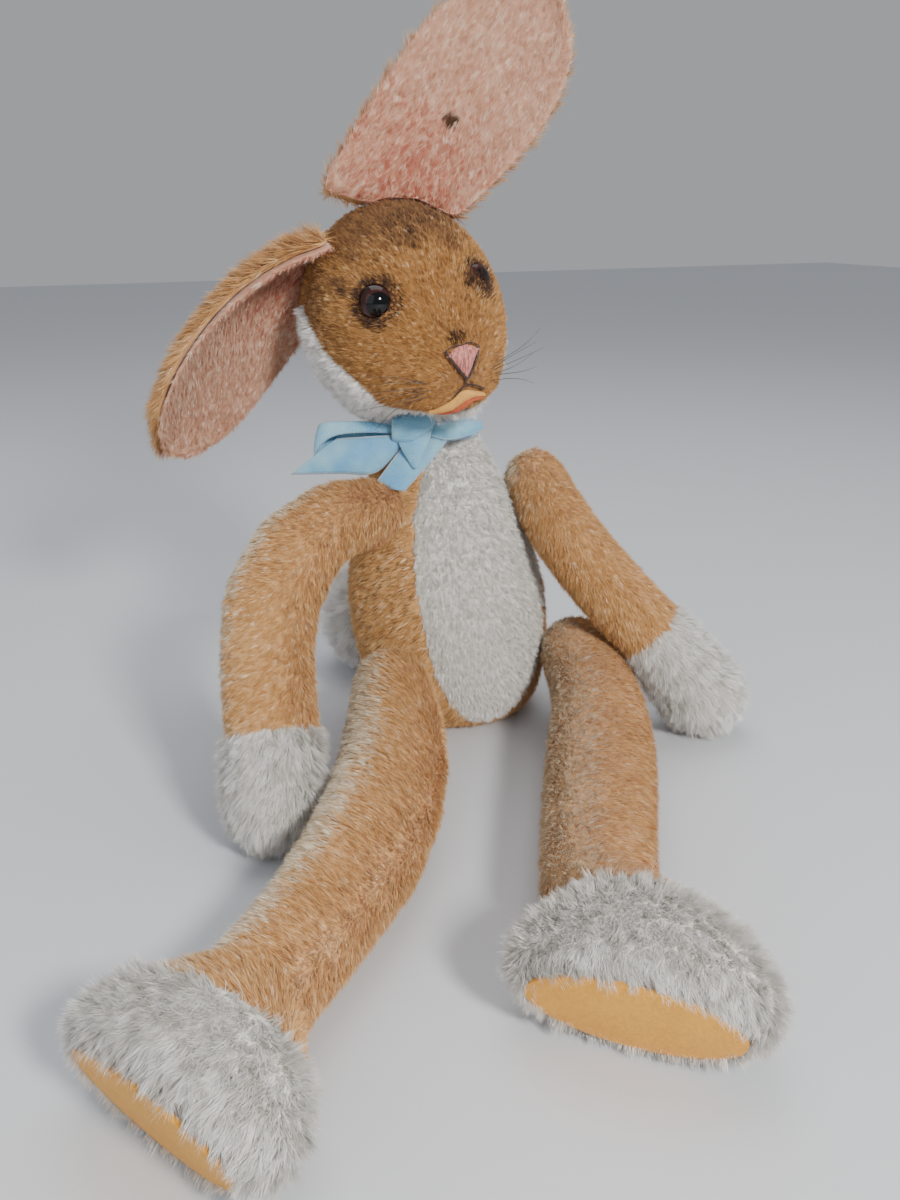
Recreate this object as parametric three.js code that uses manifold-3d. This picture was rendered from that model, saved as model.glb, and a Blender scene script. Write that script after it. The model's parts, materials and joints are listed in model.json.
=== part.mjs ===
// A dangling mohair rabbit, seated: long soft limbs on linen joint cords, a turning head,
// cloth ears and a ribbon bow. Millimetres, +Z up, the rabbit faces -Y and its left is +X.
// The origin is the middle of the flat seat on which the body rests.
import * as THREE from "three";
import { mergeVertices } from "three/addons/utils/BufferGeometryUtils.js";
import Module from "manifold-3d";

const wasm = await Module();
wasm.setup();

// Driving dimensions
const gap = 0.3; // clearance between pieces that touch
const clothWall = 4; // mohair cloth with its pile
const armGirth = 18.5; // radius of an arm at its thickest
const legGirth = 22; // half the width of a leg at the knee
const footLength = 80;
const footDepth = 43; // from one side of a foot to the other
const soleTip = THREE.MathUtils.degToRad(18); // a foot's sole faces this far down
const soleThick = 2;
const soleShare = 0.4; // half the length of a sole, as a share of its foot
const soleDeepShare = 0.34;
const ankleCuff = 16; // the leg's cloth runs this far onto the foot
const bodyHeight = 146; // seat to the top of the neck
const bodyWidth = 93;
const bodyDepth = 82;
const headWidth = 78;
const headHeight = 92;
const headLift = 42.5; // from the neck joint up to the middle of the head
const headBack = 44; // from the middle of the head to its back
const headFront = 54; // from the middle of the head to the muzzle
const neckSeat = 20; // radius of the head's drawn-in underside
const earLength = 114;
const earWidth = 62;
const earBackThick = 4;
const earLiningThick = 2.5;
const eyeRadius = 7.2;
const tailRadius = 27;
const ribbonWidth = 18;
const ribbonThick = 1.4;
const cordRadius = 0.9;
const knotRadius = 2.6;
const limbKnot = 4.6; // from the joint to the middle of the knot in the limb
const discRadius = 8;
const discThick = 1.5;
const slope = 127.75 / bodyHeight; // of the body wall by the shoulders
const wallSlant = discRadius * slope; // a joint disc lies deeper by this
const armBall = discRadius + clothWall + 2; // radius of an arm's gathered top
const legBall = armBall + 2.5;
const pinRadius = 1.2;
const pinHead = 3;
const washerRadius = 5;
const headDiscRadius = 12;
const bodyDiscRadius = 8.5; // the disc under the top of the neck
const shankRadius = 1;
const shankEnd = 26; // an eye's shank reaches this far behind its middle

// Colours
const tan = { color: 0xb98c5f, roughness: 0.85 };
const white = { color: 0xc9c6be, roughness: 0.9 };
const pink = { color: 0xbe8c78, roughness: 0.85 };
const felt = { color: 0xd7aa55, roughness: 0.95 };
const lipFelt = { color: 0xe0a94e, roughness: 0.9 };
const mouthRed = { color: 0xb4563a, roughness: 0.85 };
const noseSilk = { color: 0xc87d73, roughness: 0.55 };
const glass = { color: 0x2a1408, roughness: 0.08 };
const ribbonSilk = { color: 0x78b4d7, roughness: 0.5 };
const fibre = { color: 0xd8cdb2, roughness: 1 };
const card = { color: 0x8f7350, roughness: 0.9 };
const linen = { color: 0xcfc4a6, roughness: 0.9 };
const steel = { color: 0x9a9a9c, roughness: 0.4, metalness: 1 };
const bristle = { color: 0x2c241e, roughness: 0.5 };

const point = (x, y, z) => new THREE.Vector3(x, y, z);
const upright = point(0, 0, 1);
const stuffingInset = clothWall + 3 * gap;
const rabbit = new THREE.Group();

function toSolid(geometry) {
  const bare = geometry.clone();
  bare.deleteAttribute("normal");
  bare.deleteAttribute("uv");
  const merged = mergeVertices(bare, 1e-4);
  return new wasm.Manifold(
    new wasm.Mesh({
      numProp: 3,
      vertProperties: new Float32Array(merged.attributes.position.array),
      triVerts: new Uint32Array(merged.index.array),
    }),
  );
}

function toGeometry(solid) {
  const { vertProperties, triVerts } = solid.getMesh();
  const geometry = new THREE.BufferGeometry();
  geometry.setAttribute("position", new THREE.BufferAttribute(vertProperties, 3));
  geometry.setIndex(new THREE.BufferAttribute(triVerts, 1));
  geometry.computeVertexNormals();
  return geometry;
}

// Names a piece, gives it its material and puts it in its group.
function piece(name, shape, finish, parent = rabbit) {
  const geometry = shape.isBufferGeometry ? shape : toGeometry(shape);
  const mesh = new THREE.Mesh(geometry, new THREE.MeshStandardMaterial(finish));
  mesh.name = name;
  parent.add(mesh);
  return mesh;
}

// Skins a row of oval rings, each { centre, across, up, wide, tall }, and closes both ends
// with a fan about the start and end points.
function loft(rings, start, end, sides = 12) {
  const vertices = [];
  const faces = [];
  for (const ring of rings) {
    for (let side = 0; side < sides; side++) {
      const turn = (side / sides) * 2 * Math.PI - Math.PI / 2;
      const place = ring.centre
        .clone()
        .addScaledVector(ring.across, ring.wide * Math.cos(turn))
        .addScaledVector(ring.up, ring.tall * Math.sin(turn));
      vertices.push(place.x, place.y, place.z);
    }
  }
  const startIndex = rings.length * sides;
  const endIndex = startIndex + 1;
  vertices.push(start.x, start.y, start.z, end.x, end.y, end.z);
  const last = (rings.length - 1) * sides;
  for (let side = 0; side < sides; side++) {
    const next = (side + 1) % sides;
    faces.push(startIndex, next, side, endIndex, last + side, last + next);
    for (let row = 0; row < last; row += sides) {
      faces.push(row + side, row + next, row + sides + next);
      faces.push(row + side, row + sides + next, row + sides + side);
    }
  }
  const geometry = new THREE.BufferGeometry();
  geometry.setAttribute("position", new THREE.Float32BufferAttribute(vertices, 3));
  geometry.setIndex(faces);
  return geometry;
}

function ringAt(centre, along, wide, tall) {
  const across = upright.clone().cross(along).normalize();
  const up = along.clone().cross(across);
  return { centre, across, up, wide, tall };
}

// Turns a shape made along +Z so that it runs along a direction from a place.
function aim(geometry, place, along) {
  const turn = new THREE.Quaternion().setFromUnitVectors(upright, along.clone().normalize());
  return geometry.applyQuaternion(turn).translate(place.x, place.y, place.z);
}

function cylinder(radius, from, to, place, along, sides = 12) {
  const shape = new THREE.CylinderGeometry(radius, radius, to - from, sides);
  shape.rotateX(Math.PI / 2).translate(0, 0, (from + to) / 2);
  return toSolid(aim(shape, place, along));
}

// A disc with a hole for its cord or pin, lying from one height to another along its axis.
function disc(radius, hole, from, to, place, along) {
  const ring = cylinder(radius, from, to, place, along);
  return ring.subtract(cylinder(hole, from - 1, to + 1, place, along, 8));
}

// A block that fills everything on the far side of a plane.
function beyond(place, along) {
  const size = 600;
  const block = new THREE.BoxGeometry(size, size, size).translate(0, 0, size / 2);
  return toSolid(aim(block, place, along));
}

// Parts a skin at a seam, leaving the clearance between its two pieces.
function partAt(skin, place, along) {
  const half = along.clone().multiplyScalar(gap / 2);
  const near = skin.intersect(beyond(place.clone().sub(half), along.clone().negate()));
  const far = skin.intersect(beyond(place.clone().add(half), along));
  return [near, far];
}

// Limbs. A limb is a ball about its joint, then a soft tube through its stations, each
// [x, y, z, half width, half height], and an end of its own.
function limbLine(stations) {
  return {
    centre: new THREE.CatmullRomCurve3(stations.map((s) => point(s[0], s[1], s[2]))),
    girth: new THREE.CatmullRomCurve3(stations.map((s) => point(s[3], s[4], 0))),
  };
}

function limbRings(line, steps, inset) {
  const rings = [];
  const joint = line.centre.getPoint(0);
  const away = line.centre.getTangent(0);
  const ball = line.girth.getPoint(0).x - inset;
  for (const turn of [30, 60].map(THREE.MathUtils.degToRad)) {
    const centre = joint.clone().addScaledVector(away, -ball * Math.cos(turn));
    rings.push(ringAt(centre, away, ball * Math.sin(turn), ball * Math.sin(turn)));
  }
  const start = joint.clone().addScaledVector(away, -ball);
  for (let step = 0; step <= steps; step++) {
    const girth = line.girth.getPoint(step / steps);
    const along = line.centre.getTangent(step / steps);
    const centre = line.centre.getPoint(step / steps);
    rings.push(ringAt(centre, along, girth.x - inset, girth.y - inset));
  }
  return { rings, start };
}

function armSolid(line, inset) {
  const { rings, start } = limbRings(line, 7, inset);
  const along = line.centre.getTangent(1);
  const tip = line.centre.getPoint(1);
  const girth = line.girth.getPoint(1);
  const reach = girth.x - inset;
  for (const turn of [35, 65].map(THREE.MathUtils.degToRad)) {
    const centre = tip.clone().addScaledVector(along, reach * Math.sin(turn));
    const shrink = Math.cos(turn);
    rings.push(ringAt(centre, along, (girth.x - inset) * shrink, (girth.y - inset) * shrink));
  }
  return toSolid(loft(rings, start, tip.clone().addScaledVector(along, reach)));
}

// A foot lies across the end of its leg, with its toe to one side and its sole tipped down.
// Each station is [distance from the middle of the foot, half length, half depth], the last
// two as shares.
const footStations = [
  [-13, 0.66, 0.93],
  [-6, 0.88, 0.98],
  [2, 0.98, 1],
  [9, 1, 0.98],
  [14, 0.95, 0.88],
  [16, 0.86, 0.74],
];

const floorGap = 0.1;
const soleReach = footStations[footStations.length - 1][0];

function footFrame(foot) {
  const toe = point(...foot.toe, 0).normalize();
  const level = toe.clone().cross(upright);
  const along = level.clone().multiplyScalar(Math.cos(soleTip)).setZ(-Math.sin(soleTip));
  const drops = footStations.map(
    ([reach, , deep]) => (footDepth / 2) * deep * Math.cos(soleTip) + reach * Math.sin(soleTip),
  );
  const middle = point(...foot.middle, Math.max(...drops) + floorGap);
  return { middle, along, across: toe, up: along.clone().cross(toe) };
}

function footRing(frame, reach, wide, tall) {
  const centre = frame.middle.clone().addScaledVector(frame.along, reach);
  return { centre, across: frame.across, up: frame.up, wide, tall };
}

function legSolid(line, inset, foot) {
  const { rings, start } = limbRings(line, 7, inset);
  const frame = footFrame(foot);
  const first = footStations[0][0];
  const squeeze = (soleReach - inset - first) / (soleReach - first);
  for (const [reach, long, deep] of footStations) {
    const wide = (footLength / 2) * long - inset;
    const place = first + (reach - first) * squeeze;
    rings.push(footRing(frame, place, wide, (footDepth / 2) * deep - inset));
  }
  return toSolid(loft(rings, start, rings[rings.length - 1].centre));
}

// The joint of a limb is a linen cord between two fibre discs. It leaves the body at the
// limb's ball, square to the body wall; a slit in the ball lets the limb tilt on it.
function jointCord(ballRadius, joint, outward) {
  const innerKnot = -(anchorDepth(ballRadius) + discThick + gap + knotRadius);
  const profile = [point(0, innerKnot - knotRadius, 0)];
  const knotSteps = 4;
  for (const [middle, first, final] of [
    [innerKnot, 0, 1],
    [limbKnot, 1, 0],
  ]) {
    const neck = Math.asin(cordRadius / knotRadius);
    for (let step = 1; step <= knotSteps; step++) {
      const share = first ? (step - 1) / knotSteps : step / knotSteps;
      const turn = final ? share * (Math.PI - neck) : neck + share * (Math.PI - neck);
      const height = middle - knotRadius * Math.cos(turn);
      profile.push(point(Math.max(knotRadius * Math.sin(turn), cordRadius * 0.99), height, 0));
    }
  }
  profile.push(point(0, limbKnot + knotRadius, 0));
  const shape = new THREE.LatheGeometry(profile, 6).rotateX(Math.PI / 2);
  return aim(shape, joint, outward);
}

// How far from the joint the disc in the body lies.
function anchorDepth(ballRadius) {
  return ballRadius + 1 + clothWall + wallSlant;
}

function bodyDisc(ballRadius, joint, outward) {
  const from = -(anchorDepth(ballRadius) + discThick);
  return disc(discRadius, cordRadius + gap, from, from + discThick, joint, outward);
}

function limbDisc(joint, outward) {
  return disc(discRadius, 1.7, -discThick / 2, discThick / 2, joint, outward);
}

// The slit lies in the plane of the tilt and spans its range, in degrees, with a margin.
function jointSlit(joint, outward, axis, tilt) {
  const margin = 9;
  const reach = 30;
  const inward = outward.clone().negate();
  const side = axis.clone().cross(inward);
  const shape = new THREE.Shape();
  shape.moveTo(0, 0);
  const steps = 10;
  for (let step = 0; step <= steps; step++) {
    const low = -tilt[1] - margin;
    const high = -tilt[0] + margin;
    const turn = THREE.MathUtils.degToRad(low + ((high - low) * step) / steps);
    shape.lineTo(reach * Math.cos(turn), reach * Math.sin(turn));
  }
  const width = 2 * (cordRadius + 2 * gap);
  const slab = new THREE.ExtrudeGeometry(shape, { depth: width, bevelEnabled: false });
  slab.translate(0, 0, -width / 2);
  const basis = new THREE.Matrix4().makeBasis(inward, side, axis);
  slab.applyMatrix4(basis);
  return toSolid(slab.translate(joint.x, joint.y, joint.z));
}

// The space inside a limb's top that its disc, knot and cord need.
function jointPocket(ballRadius, joint, outward) {
  const room = toSolid(
    new THREE.SphereGeometry(discRadius + 2, 12, 8).translate(joint.x, joint.y, joint.z),
  );
  return room.add(cylinder(5, -ballRadius, 0, joint, outward));
}

// The sizes for which the limbs' stations are given. A limb stands off the body wall by the
// radius of its gathered top. A shoulder keeps its share of the body's height, and the paw
// stays on the floor.
const drawnFor = { bodyHeight: 146, arm: 14, leg: 16.5 };
const wallCurve = 1.1;

function standOff(spec, kind, ball) {
  const steeper = bodyHeight < drawnFor.bodyHeight ? drawnFor.bodyHeight / bodyHeight - 1 : 0;
  const shift = (ball - drawnFor[kind]) * wallCurve + steeper * ball * 0.3;
  const [outX, outY] = [spec.outward.x * shift, spec.outward.y * shift];
  const stations = spec.stations.map(([x, y, ...rest]) => [x + outX, y + outY, ...rest]);
  if (!spec.foot) {
    return { ...spec, stations };
  }
  const [x, y] = spec.foot.middle;
  return { ...spec, stations, foot: { ...spec.foot, middle: [x + outX, y + outY] } };
}

function hangArm(spec) {
  const shoulder = spec.stations[0][2];
  const paw = spec.stations[spec.stations.length - 1][2];
  const rise = shoulder * (bodyHeight / drawnFor.bodyHeight - 1);
  const stations = spec.stations.map(([x, y, z, ...half]) => {
    return [x, y, z + rise * ((z - paw) / (shoulder - paw)) ** 3, ...half];
  });
  return { ...spec, stations };
}

const arms = {
  right: {
    stations: [
      [-51.8, -21.9, 110, armBall, armBall],
      [-80, -34, 109, 16.5, 16.5],
      [-103, -47, 90, armGirth, armGirth],
      [-112, -62, 65, 17.5, 17.5],
      [-115, -76, 42, 18, 18],
      [-118, -84, 19.3, 19, 19],
    ],
    outward: point(-0.845, -0.535, 0),
    tilt: [-40, 0],
    seam: 0.78,
  },
  left: {
    stations: [
      [32.5, -11.5, 113, armBall, armBall],
      [35, -31, 96, 15, 15],
      [47, -51, 73, 15.5, 15.5],
      [66, -65, 49, 16, 16],
      [89, -72, 19.8, 19.5, 19.5],
    ],
    outward: point(0.937, -0.35, 0),
    tilt: [0, 40],
    seam: 0.72,
  },
};
const legs = {
  right: {
    stations: [
      [-50.2, -36.8, 35, legBall, legBall],
      [-66, -78, 25, 21.5, 19],
      [-94, -125, 20.2, legGirth, 19.5],
      [-130, -165, 18.9, 18.5, 18],
      [-157, -190, 18.8, 17.5, 17.5],
    ],
    outward: point(-0.775, -0.632, 0),
    tilt: [0, 15],
    foot: { middle: [-176, -212], toe: [0.438, -0.899] },
  },
  left: {
    stations: [
      [42.5, -37, 35, legBall, legBall],
      [33.5, -71, 26, 19.5, 18.5],
      [10, -112, 20.2, legGirth, 19.5],
      [-20, -158, 19.3, 20.5, 18.5],
      [-40, -190, 19, 19, 18],
    ],
    outward: point(0.775, -0.632, 0),
    tilt: [-10, 3],
    foot: { middle: [-48.5, -229], toe: [0.7, -0.715] },
  },
};
const bodyHoles = [];
const bodyPockets = [];

function bodyAnchor(joint, outward, ballRadius) {
  const depth = anchorDepth(ballRadius);
  bodyHoles.push(cylinder(cordRadius + gap, -depth - 8, -ballRadius, joint, outward, 8));
  bodyPockets.push(cylinder(discRadius + 1, -depth - 9, -depth + 9, joint, outward));
}

function limb(side, kind, spec, solidOf, ballRadius, endName) {
  const line = limbLine(spec.stations);
  const joint = line.centre.getPoint(0);
  const outward = spec.outward.normalize();
  const slit = jointSlit(joint, outward, upright, spec.tilt);
  const form = (inset) => solidOf(line, inset, spec.foot);
  const skin = form(0).subtract(form(clothWall)).subtract(slit);
  const seam = line.centre.getPoint(spec.seam ?? 1);
  const seamAway = line.centre.getTangent(spec.seam ?? 1);
  if (spec.foot) {
    seam.addScaledVector(seamAway, ankleCuff);
    seamAway.add(footFrame(spec.foot).along).setZ(-0.5).normalize();
  }
  const [near, far] = partAt(skin, seam, seamAway);
  const core = form(stuffingInset).subtract(jointPocket(ballRadius, joint, outward)).subtract(slit);
  piece(`${side}_${kind}_skin`, near, tan);
  piece(`${side}_${endName}_skin`, far, white);
  piece(`${side}_${kind}_stuffing`, core, fibre);
  const jointName = kind === "arm" ? "shoulder" : "hip";
  piece(`${side}_${jointName}_cord`, jointCord(ballRadius, joint, outward), linen);
  piece(`${side}_${jointName}_body_disc`, bodyDisc(ballRadius, joint, outward), card);
  piece(`${side}_${jointName}_limb_disc`, limbDisc(joint, outward), card);
  bodyAnchor(joint, outward, ballRadius);
}

// The felt sole covers the flat end of the foot.
function sole(side, foot) {
  const frame = footFrame(foot);
  const rings = [soleReach + gap, soleReach + gap + soleThick].map((reach) =>
    footRing(frame, reach, footLength * soleShare, footDepth * soleDeepShare),
  );
  piece(`${side}_foot_sole`, loft(rings, rings[0].centre, rings[1].centre, 16), felt);
}

const hungArms = {};
for (const side of ["left", "right"]) {
  hungArms[side] = hangArm(standOff(arms[side], "arm", armBall));
  limb(side, "arm", hungArms[side], armSolid, armBall, "paw");
  const leg = standOff(legs[side], "leg", legBall);
  limb(side, "leg", leg, legSolid, legBall, "foot");
  sole(side, leg.foot);
}

// Body. Each station is [share of the height, share of the width, share of the depth].
const bodyStations = [
  [0, 0.56, 0.54],
  [0.02, 0.71, 0.7],
  [0.07, 0.84, 0.83],
  [0.15, 0.93, 0.93],
  [0.27, 0.99, 0.99],
  [0.42, 1, 1],
  [0.58, 0.9, 0.9],
  [0.72, 0.74, 0.77],
  [0.84, 0.56, 0.62],
  [0.93, 0.43, 0.49],
  [1, 0.36, 0.38],
];
const neck = point(-14, 5, bodyHeight);
const overNeck = (x, y, rise) => point(x, y, bodyHeight + rise);

function bodySolid(inset) {
  const rings = bodyStations.map(([height, wide, deep]) => {
    const z = THREE.MathUtils.lerp(inset, bodyHeight - inset, height);
    return {
      centre: point((neck.x * z) / bodyHeight, (neck.y * z) / bodyHeight, z),
      across: point(1, 0, 0),
      up: point(0, 1, 0),
      wide: (bodyWidth / 2) * wide - inset,
      tall: (bodyDepth / 2) * deep - inset,
    };
  });
  return toSolid(loft(rings, rings[0].centre, rings[rings.length - 1].centre, 20));
}

// How far the body reaches from its middle line at a height above its widest part.
function bodyReach(z) {
  const share = z / bodyHeight;
  const upper = bodyStations.findIndex(([height]) => height >= share);
  const [[low, lowWide, lowDeep], [high, highWide, highDeep]] = bodyStations.slice(upper - 1, upper + 1);
  const part = (share - low) / (high - low);
  const wide = THREE.MathUtils.lerp(lowWide, highWide, part) * bodyWidth;
  const deep = THREE.MathUtils.lerp(lowDeep, highDeep, part) * bodyDepth;
  return Math.max(wide, deep) / 2;
}

// The white belly panel is a long oval in the front of the body.
function bellyCutter(grow) {
  const shape = new THREE.Shape();
  const middle = bodyHeight / 2;
  shape.absellipse(0, middle, bodyWidth * 0.355 + grow, bodyHeight * 0.465 + grow, 0, 2 * Math.PI);
  const prism = new THREE.ExtrudeGeometry(shape, {
    depth: bodyDepth,
    bevelEnabled: false,
    curveSegments: 14,
  });
  prism.rotateX(Math.PI / 2).rotateZ(THREE.MathUtils.degToRad(13));
  return toSolid(prism.translate(neck.x / 2, neck.y / 2, 0));
}

const discTop = -clothWall - gap;
const neckHole = (from, to) => cylinder(pinRadius + gap, from, to, neck, upright, 12);
let bodySkin = bodySolid(0).subtract(bodySolid(clothWall)).subtract(neckHole(-8, 2));
let bodyCore = bodySolid(stuffingInset).subtract(cylinder(10, -14, 0, neck, upright));
for (const hole of bodyHoles) {
  bodySkin = bodySkin.subtract(hole);
}
for (const pocket of bodyPockets) {
  bodyCore = bodyCore.subtract(pocket);
}
piece("torso_skin", bodySkin.subtract(bellyCutter(gap)), tan);
piece("belly_panel", bodySkin.intersect(bellyCutter(0)), white);
piece("torso_stuffing", bodyCore, fibre);

// Tail, an upright fluffy ball on the back of the body.
const tailPlace = point(-18, bodyDepth / 2 + tailRadius - 2, tailRadius + 1);
function tailSolid(inset) {
  const size = tailRadius - inset;
  const ball = new THREE.SphereGeometry(1, 14, 9).rotateX(Math.PI / 2);
  ball.scale(size * 0.9, size * 0.85, size);
  return toSolid(ball.translate(tailPlace.x, tailPlace.y, tailPlace.z));
}
const tailStitch = cylinder(4, 0, tailRadius, tailPlace, point(0.2, -1, 0), 10);
const tailSkin = tailSolid(0).subtract(tailSolid(clothWall)).subtract(tailStitch);
const bodyClear = bodySolid(-gap);
piece("tail_skin", tailSkin.subtract(bodyClear), white);
piece("tail_stuffing", tailSolid(stuffingInset).subtract(bodyClear), fibre);

// Head, built about its own middle and turned as one.
const head = new THREE.Group();
head.position.set(-29.5, -4.4, bodyHeight + headLift);
head.rotation.set(THREE.MathUtils.degToRad(9), THREE.MathUtils.degToRad(-9), 0.04, "ZYX");
rabbit.add(head);
head.updateMatrixWorld(true);
const intoHead = (place) => head.worldToLocal(place.clone());
const headDown = upright.clone().transformDirection(head.matrixWorld.clone().invert());

// Each station is [place along the head, share of the width, share of the height, lift].
const headStations = [
  [0.97, 0.36, 0.34, 1],
  [0.8, 0.7, 0.68, 0],
  [0.5, 0.95, 0.92, -1],
  [0.1, 1.03, 1, -0.5],
  [-0.24, 0.99, 0.98, -1],
  [-0.5, 0.88, 0.86, -3],
  [-0.7, 0.7, 0.68, -7],
  [-0.86, 0.49, 0.48, -12],
  [-0.97, 0.27, 0.28, -15],
];

function headShape(inset) {
  const rings = headStations.map(([share, wide, tall, lift]) => ({
    centre: point(0, share * ((share > 0 ? headBack : headFront) - inset), lift),
    across: point(1, 0, 0),
    up: upright,
    wide: (headWidth / 2) * wide - inset,
    tall: (headHeight / 2) * tall - inset,
  }));
  const start = point(0, headBack - inset, headStations[0][3]);
  const end = point(0, -(headFront - inset), headStations[headStations.length - 1][3]);
  return loft(rings, start, end, 20);
}

// Under the head its skin is drawn in to a seat about the neck joint.
const neckInHead = intoHead(neck);
function headSolid(inset) {
  const seat = new THREE.SphereGeometry(neckSeat - inset, 20, 12);
  const middle = neckInHead.clone().addScaledVector(headDown, neckSeat * 0.7);
  return toSolid(headShape(inset)).add(toSolid(seat.translate(middle.x, middle.y, middle.z)));
}
const neckFlat = 1; // the underside is flat this far above the neck joint
const neckRoom = 12;
const cheekSeam = point(0, 0, -4);
const napeSeam = point(0, 20, 0);
const under = (radius, from, to) => cylinder(radius, from, to, neckInHead, headDown, 20);
let headSkin = headSolid(0).subtract(under(headWidth / 2, -headWidth / 2, neckFlat));
const lining = under(headWidth / 2, -headWidth / 2, neckFlat + clothWall);
headSkin = headSkin.subtract(headSolid(clothWall).subtract(lining));
headSkin = headSkin.subtract(under(pinRadius + gap, -2, neckRoom));
const coreFloor = under(headWidth / 2, -headWidth / 2, neckFlat + stuffingInset);
let headCore = headSolid(stuffingInset).subtract(coreFloor);
headCore = headCore.subtract(under(headDiscRadius + 5 * gap, 0, neckRoom + 1));

// Each glass eye sits in its socket on a wire shank. The left one is sewn in deeper.
const eyes = {
  left: { middle: point((headWidth * 37) / 156, -31.5, 18), out: point(0.6, -0.8, 0) },
  right: { middle: point((-headWidth * 4) / 13, -29.5, 17.5), out: point(-0.6, -0.8, 0) },
};
function eyeBall({ middle }, radius) {
  return toSolid(new THREE.SphereGeometry(radius, 12, 9).translate(middle.x, middle.y, middle.z));
}
function shank({ middle }, radius, from) {
  return cylinder(radius, from, shankEnd, middle, point(0, 1, 0), 8);
}
for (const eye of Object.values(eyes)) {
  const socket = eyeBall(eye, eyeRadius + gap).add(shank(eye, shankRadius + gap + 0.1, 0));
  headSkin = headSkin.subtract(socket);
  headCore = headCore.subtract(socket).subtract(cylinder(5, 0, 16, eye.middle, eye.out));
}

// The white gusset takes in the cheeks and the chin. It lies under a seam that drops forward
// to the mouth and before one that rises behind the cheeks.
function gussetCutter(grow) {
  const dropping = point(0, 0.615, -0.789);
  const rising = point(0, -0.9, -0.436);
  const front = beyond(cheekSeam.clone().addScaledVector(dropping, -grow), dropping);
  return front.intersect(beyond(napeSeam.clone().addScaledVector(rising, -grow), rising));
}
piece("head_skin", headSkin.subtract(gussetCutter(gap)), tan, head);
piece("chin_gusset", headSkin.intersect(gussetCutter(0)), white, head);
piece("head_stuffing", headCore, fibre, head);
for (const [side, eye] of Object.entries(eyes)) {
  piece(`${side}_eye`, eyeBall(eye, eyeRadius), glass, head);
  piece(`${side}_eye_shank`, shank(eye, shankRadius, eyeRadius + gap), steel, head);
}

// Neck joint: a steel cotter through two card discs and two washers.
const washerThick = 1;
const headDisc = neckFlat + clothWall + gap;
const lowWasher = discTop - discThick - gap;
const highWasher = headDisc + discThick + gap;
function neckRing(name, radius, from, thick, finish) {
  piece(name, disc(radius, pinRadius + gap, from, from + thick, neck, upright), finish);
}
neckRing("neck_body_disc", bodyDiscRadius, discTop - discThick, discThick, card);
neckRing("neck_head_disc", headDiscRadius, headDisc, discThick, card);
neckRing("neck_body_washer", washerRadius, lowWasher - washerThick, washerThick, steel);
neckRing("neck_head_washer", washerRadius, highWasher, washerThick, steel);
const pinLow = lowWasher - washerThick - gap;
const pinHigh = highWasher + washerThick + gap;
const pin = cylinder(pinRadius, pinLow - 1, pinHigh + 1, neck, upright, 10)
  .add(cylinder(pinHead, pinLow - 2, pinLow, neck, upright, 10))
  .add(cylinder(pinHead, pinHigh, pinHigh + 2, neck, upright, 10));
piece("neck_cotter_pin", pin, steel);

// Nose, mouth and whiskers.
const clearOfHead = headSolid(gap * -1);
const noseShape = new THREE.Shape();
noseShape.moveTo(-6, 4);
noseShape.quadraticCurveTo(0, 6.5, 6, 4);
noseShape.quadraticCurveTo(4, -2, 0, -5);
noseShape.quadraticCurveTo(-4, -2, -6, 4);
const nosePad = new THREE.ExtrudeGeometry(noseShape, {
  depth: 14,
  bevelEnabled: false,
  curveSegments: 4,
});
nosePad.rotateX(Math.PI / 2).translate(0, -headFront + 10, -8);
const noseFront = toSolid(nosePad).intersect(headSolid(-2)).subtract(clearOfHead);
piece("nose_stitching", noseFront, noseSilk, head);

function mouthPad(name, low, high, reach, finish) {
  const band = new THREE.CylinderGeometry(reach, reach, high - low, 20);
  band.rotateX(Math.PI / 2).translate(0, -headFront + 12, (low + high) / 2);
  const pad = toSolid(band).intersect(headSolid(-2.2)).subtract(clearOfHead);
  piece(name, pad.intersect(beyond(point(0, -headFront + 16, 0), point(0, -1, 0))), finish, head);
}
mouthPad("mouth_lining", -27.5, -24, 14, lipFelt);
mouthPad("lower_lip", -31, -27.8, 13, mouthRed);

function whiskers(side) {
  const root = point((side * headWidth * 5) / 26, -headFront + 6, -14);
  let fan = toSolid(new THREE.SphereGeometry(1, 6, 4).translate(root.x, root.y, root.z));
  for (const rise of [-9, 0, 9]) {
    const middle = point(root.x + side * 14, root.y - 5, root.z + rise * 0.6);
    const tip = point(root.x + side * 27, root.y - 6, root.z + rise * 1.4);
    const curve = new THREE.CatmullRomCurve3([root, middle, tip]);
    const rings = [0, 0.5, 1].map((share) =>
      ringAt(curve.getPoint(share), curve.getTangent(share), 0.35, 0.35),
    );
    fan = fan.add(toSolid(loft(rings, rings[0].centre, rings[2].centre, 4)));
  }
  return fan.subtract(clearOfHead);
}
piece("left_whiskers", whiskers(1), bristle, head);
piece("right_whiskers", whiskers(-1), bristle, head);

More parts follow.
